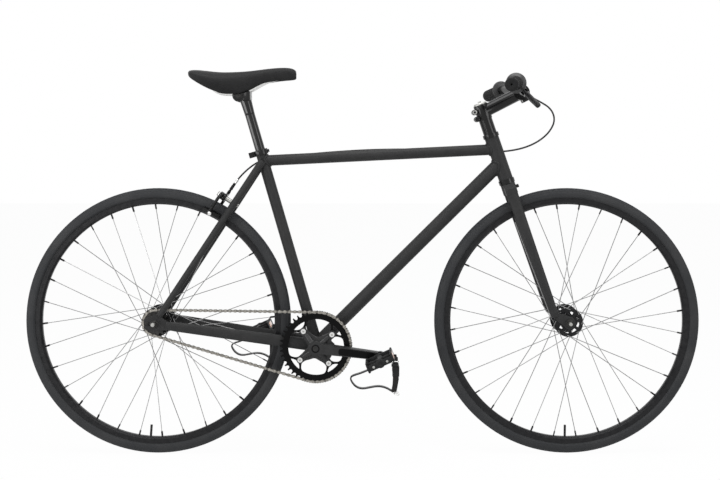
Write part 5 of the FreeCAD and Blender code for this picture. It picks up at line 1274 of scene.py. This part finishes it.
clamp_centre = Vector((-0.31898, 0, 0.92901))
cheek_centre = clamp_centre - Vector((0, 0, 0.004))
post_top = Vector((-0.3045, 0, 0.9183))
seat_dir = Vector((-0.280667, 0, 0.959805))
cheek = [(0, 21.2), (15, 21.2), (16, 22.2), (16, 24.4), (15, 25.5), (10.8, 25.8), (10, 25), (7.4, 25), (6.8, 26),
         (0, 26.1)]
drum = [(0, -21.1), (13.8, -21.1), (14.5, -20.4), (14.5, 20.4), (13.8, 21.1), (0, 21.1)]
post_sleeve = [(0, -44.5), (12.5, -44.5), (12.8, -44), (13.1, -38), (13.6, -28), (14.2, -17), (14.7, -6), (14.7, 0.6),
               (13.2, 2.2), (0, 2.4)]
bolt_head = [(0, 25.9), (5.8, 25.9), (5.8, 26.3), (4.8, 26.5), (2.2, 26.5), (2, 25.8), (0, 25.8)]
clamp = bmesh.new()
for side in sides.values():
    turned(clamp, cheek, cheek_centre, across * side, steps=40)
turned(clamp, drum, clamp_centre, across, steps=40)
turned(clamp, post_sleeve, post_top, seat_dir, steps=40)
block(clamp, (-307.75, -25.25, 912.5), (-289.25, 25.25, 937.5), 3, Matrix.Identity(4), segments=3)
make_piece("post_head", clamp, post_black, "seat", ["saddle_clamp"])
turned_piece("clamp_bolt_heads", [(bolt_head, cheek_centre, across * side, 24) for side in sides.values()],
             dark_steel, "seat")
print("rail bends:", len(rail_bends))

# %% [markdown]
# ## Worked edges
# Forged and machined parts have no sharp corners. A weld joins the corners of each face, and a narrow bevel then
# rounds every edge that turns by more than a set angle, so the edges catch a thin line of light.

# %% Round the edges of forged parts
rounded = {"right_crank": 0.0016, "left_crank": 0.0016, "stem": 0.0009, "rear_dropouts": 0.0006, "seat_clamp": 0.0008,
           "brake_lever_bracket": 0.0007, "rear_axle_nuts": 0.0006, "front_axle_nuts": 0.0006,
           "crank_bolts": 0.0006}
for name, width in rounded.items():
    join = nodes[name].modifiers.new("join", "WELD")
    join.merge_threshold = 0.00001
    soft = nodes[name].modifiers.new("soft_edges", "BEVEL")
    soft.width = width
    soft.segments = 3
    soft.limit_method = "ANGLE"
    soft.angle_limit = math.radians(35)
    soft.harden_normals = False
print("parts with rounded edges:", len(rounded))

# %% [markdown]
# ## Lever and bolt heads
# The brake lever's blade is a bowed bar with round edges. It is thin where the bracket's cheeks hold it, swells where
# fingers pull it and ends in a blunt flared tip, so it is lofted through oval sections along its bow. The upper
# socket head on the stem gets a flat dark disc, painted shade for its hollow, and the lower one a cap.

# %% Shape the lever and the bolt heads
lever_clamp = Vector((0.386118, -0.140892, 0.946700))
lever_out = Vector((-0.260564, -0.955403, 0.138968))
lever_down = Vector((0.621212, -0.276097, -0.733394))
lever_axis = Vector((0.739055, -0.104768, 0.665448))
lever_pivot = Vector((0.40103, -0.14752, 0.92910))
lever_bow = [(4.5, 24, 0), (12, 33, 0), (25, 45, 0), (54, 67, 0), (80, 83.5, 0), (97, 92, 0), (106, 100, 0)]
blade = bmesh.new()
spine = spline_points(metres(lever_bow))
last = len(spine) - 1
sections = []
for index, spot in enumerate(spine):
    share = index / last
    run = (spine[min(index + 1, last)] - spine[max(index - 1, 0)]).normalized()
    wide = 0.0063 - 0.0012 * share
    thick = 0.0042 + 0.0030 * min(max((share - 0.12) / 0.15, 0), 1) - 0.0006 * share
    blunt = math.sqrt(max(1 - max((share - 0.94) / 0.062, 0) ** 2, 0.04)) * (0.8 if index == 0 else 1)
    place = lever_clamp + lever_out * spot.x + lever_down * spot.y
    normal = lever_down * run.x - lever_out * run.y
    sections.append((place, normal * wide * blunt, lever_axis * thick * blunt))
oval_loft(blade, sections, 24)
make_piece("lever_blade", blade, moulded_resin, "brake_lever", ["brake_lever"], smooth_angle=60)

pin_half = [(0, 8.8), (3.4, 8.8), (3.6, 8.2), (3.6, 7.8), (2.4, 7.8)]
pin = [(radius, -height) for radius, height in pin_half] + pin_half[::-1]
turned_piece("lever_pivot_pin", [(pin, lever_pivot, lever_axis, 20)], dark_steel, "fork")

# The upper, narrow disc is deep-black paint over the bolt's socket, painted shade for its hollow; the lower, wide
# disc is the bolt's cap.
stem_side = -0.02112
sockets = []
for x, z, radius in ((0.2898, 0.8817, 3.0), (0.2960, 0.8638, 5.8)):
    rim = [(0, 0), (radius, 0), (radius, 0.2), (radius - 0.8, 0.5), (0, 0.6)]
    sockets.append((rim, Vector((x, stem_side, z)), -across, 24))
turned_piece("stem_socket_shade_and_cap", sockets, gloss_paint, "fork")

bolt_circle = 0.052
bolt_face = min(corner[1] for corner in nodes["chainring_bolts"].bound_box)
# Each chainring bolt gets a thin grey disc over its socket: painted shade for the socket's hollow.
socket = [(0, 0), (3.1, 0), (2.8, 0.3), (0, 0.3)]
sockets = [(socket, polar(angle, bolt_circle, -bolt_face), -across, 6) for angle in bolt_angles]
turned_piece("ring_bolt_socket_shades", sockets, dull_steel, "crank")
print("lever sections:", len(sections))
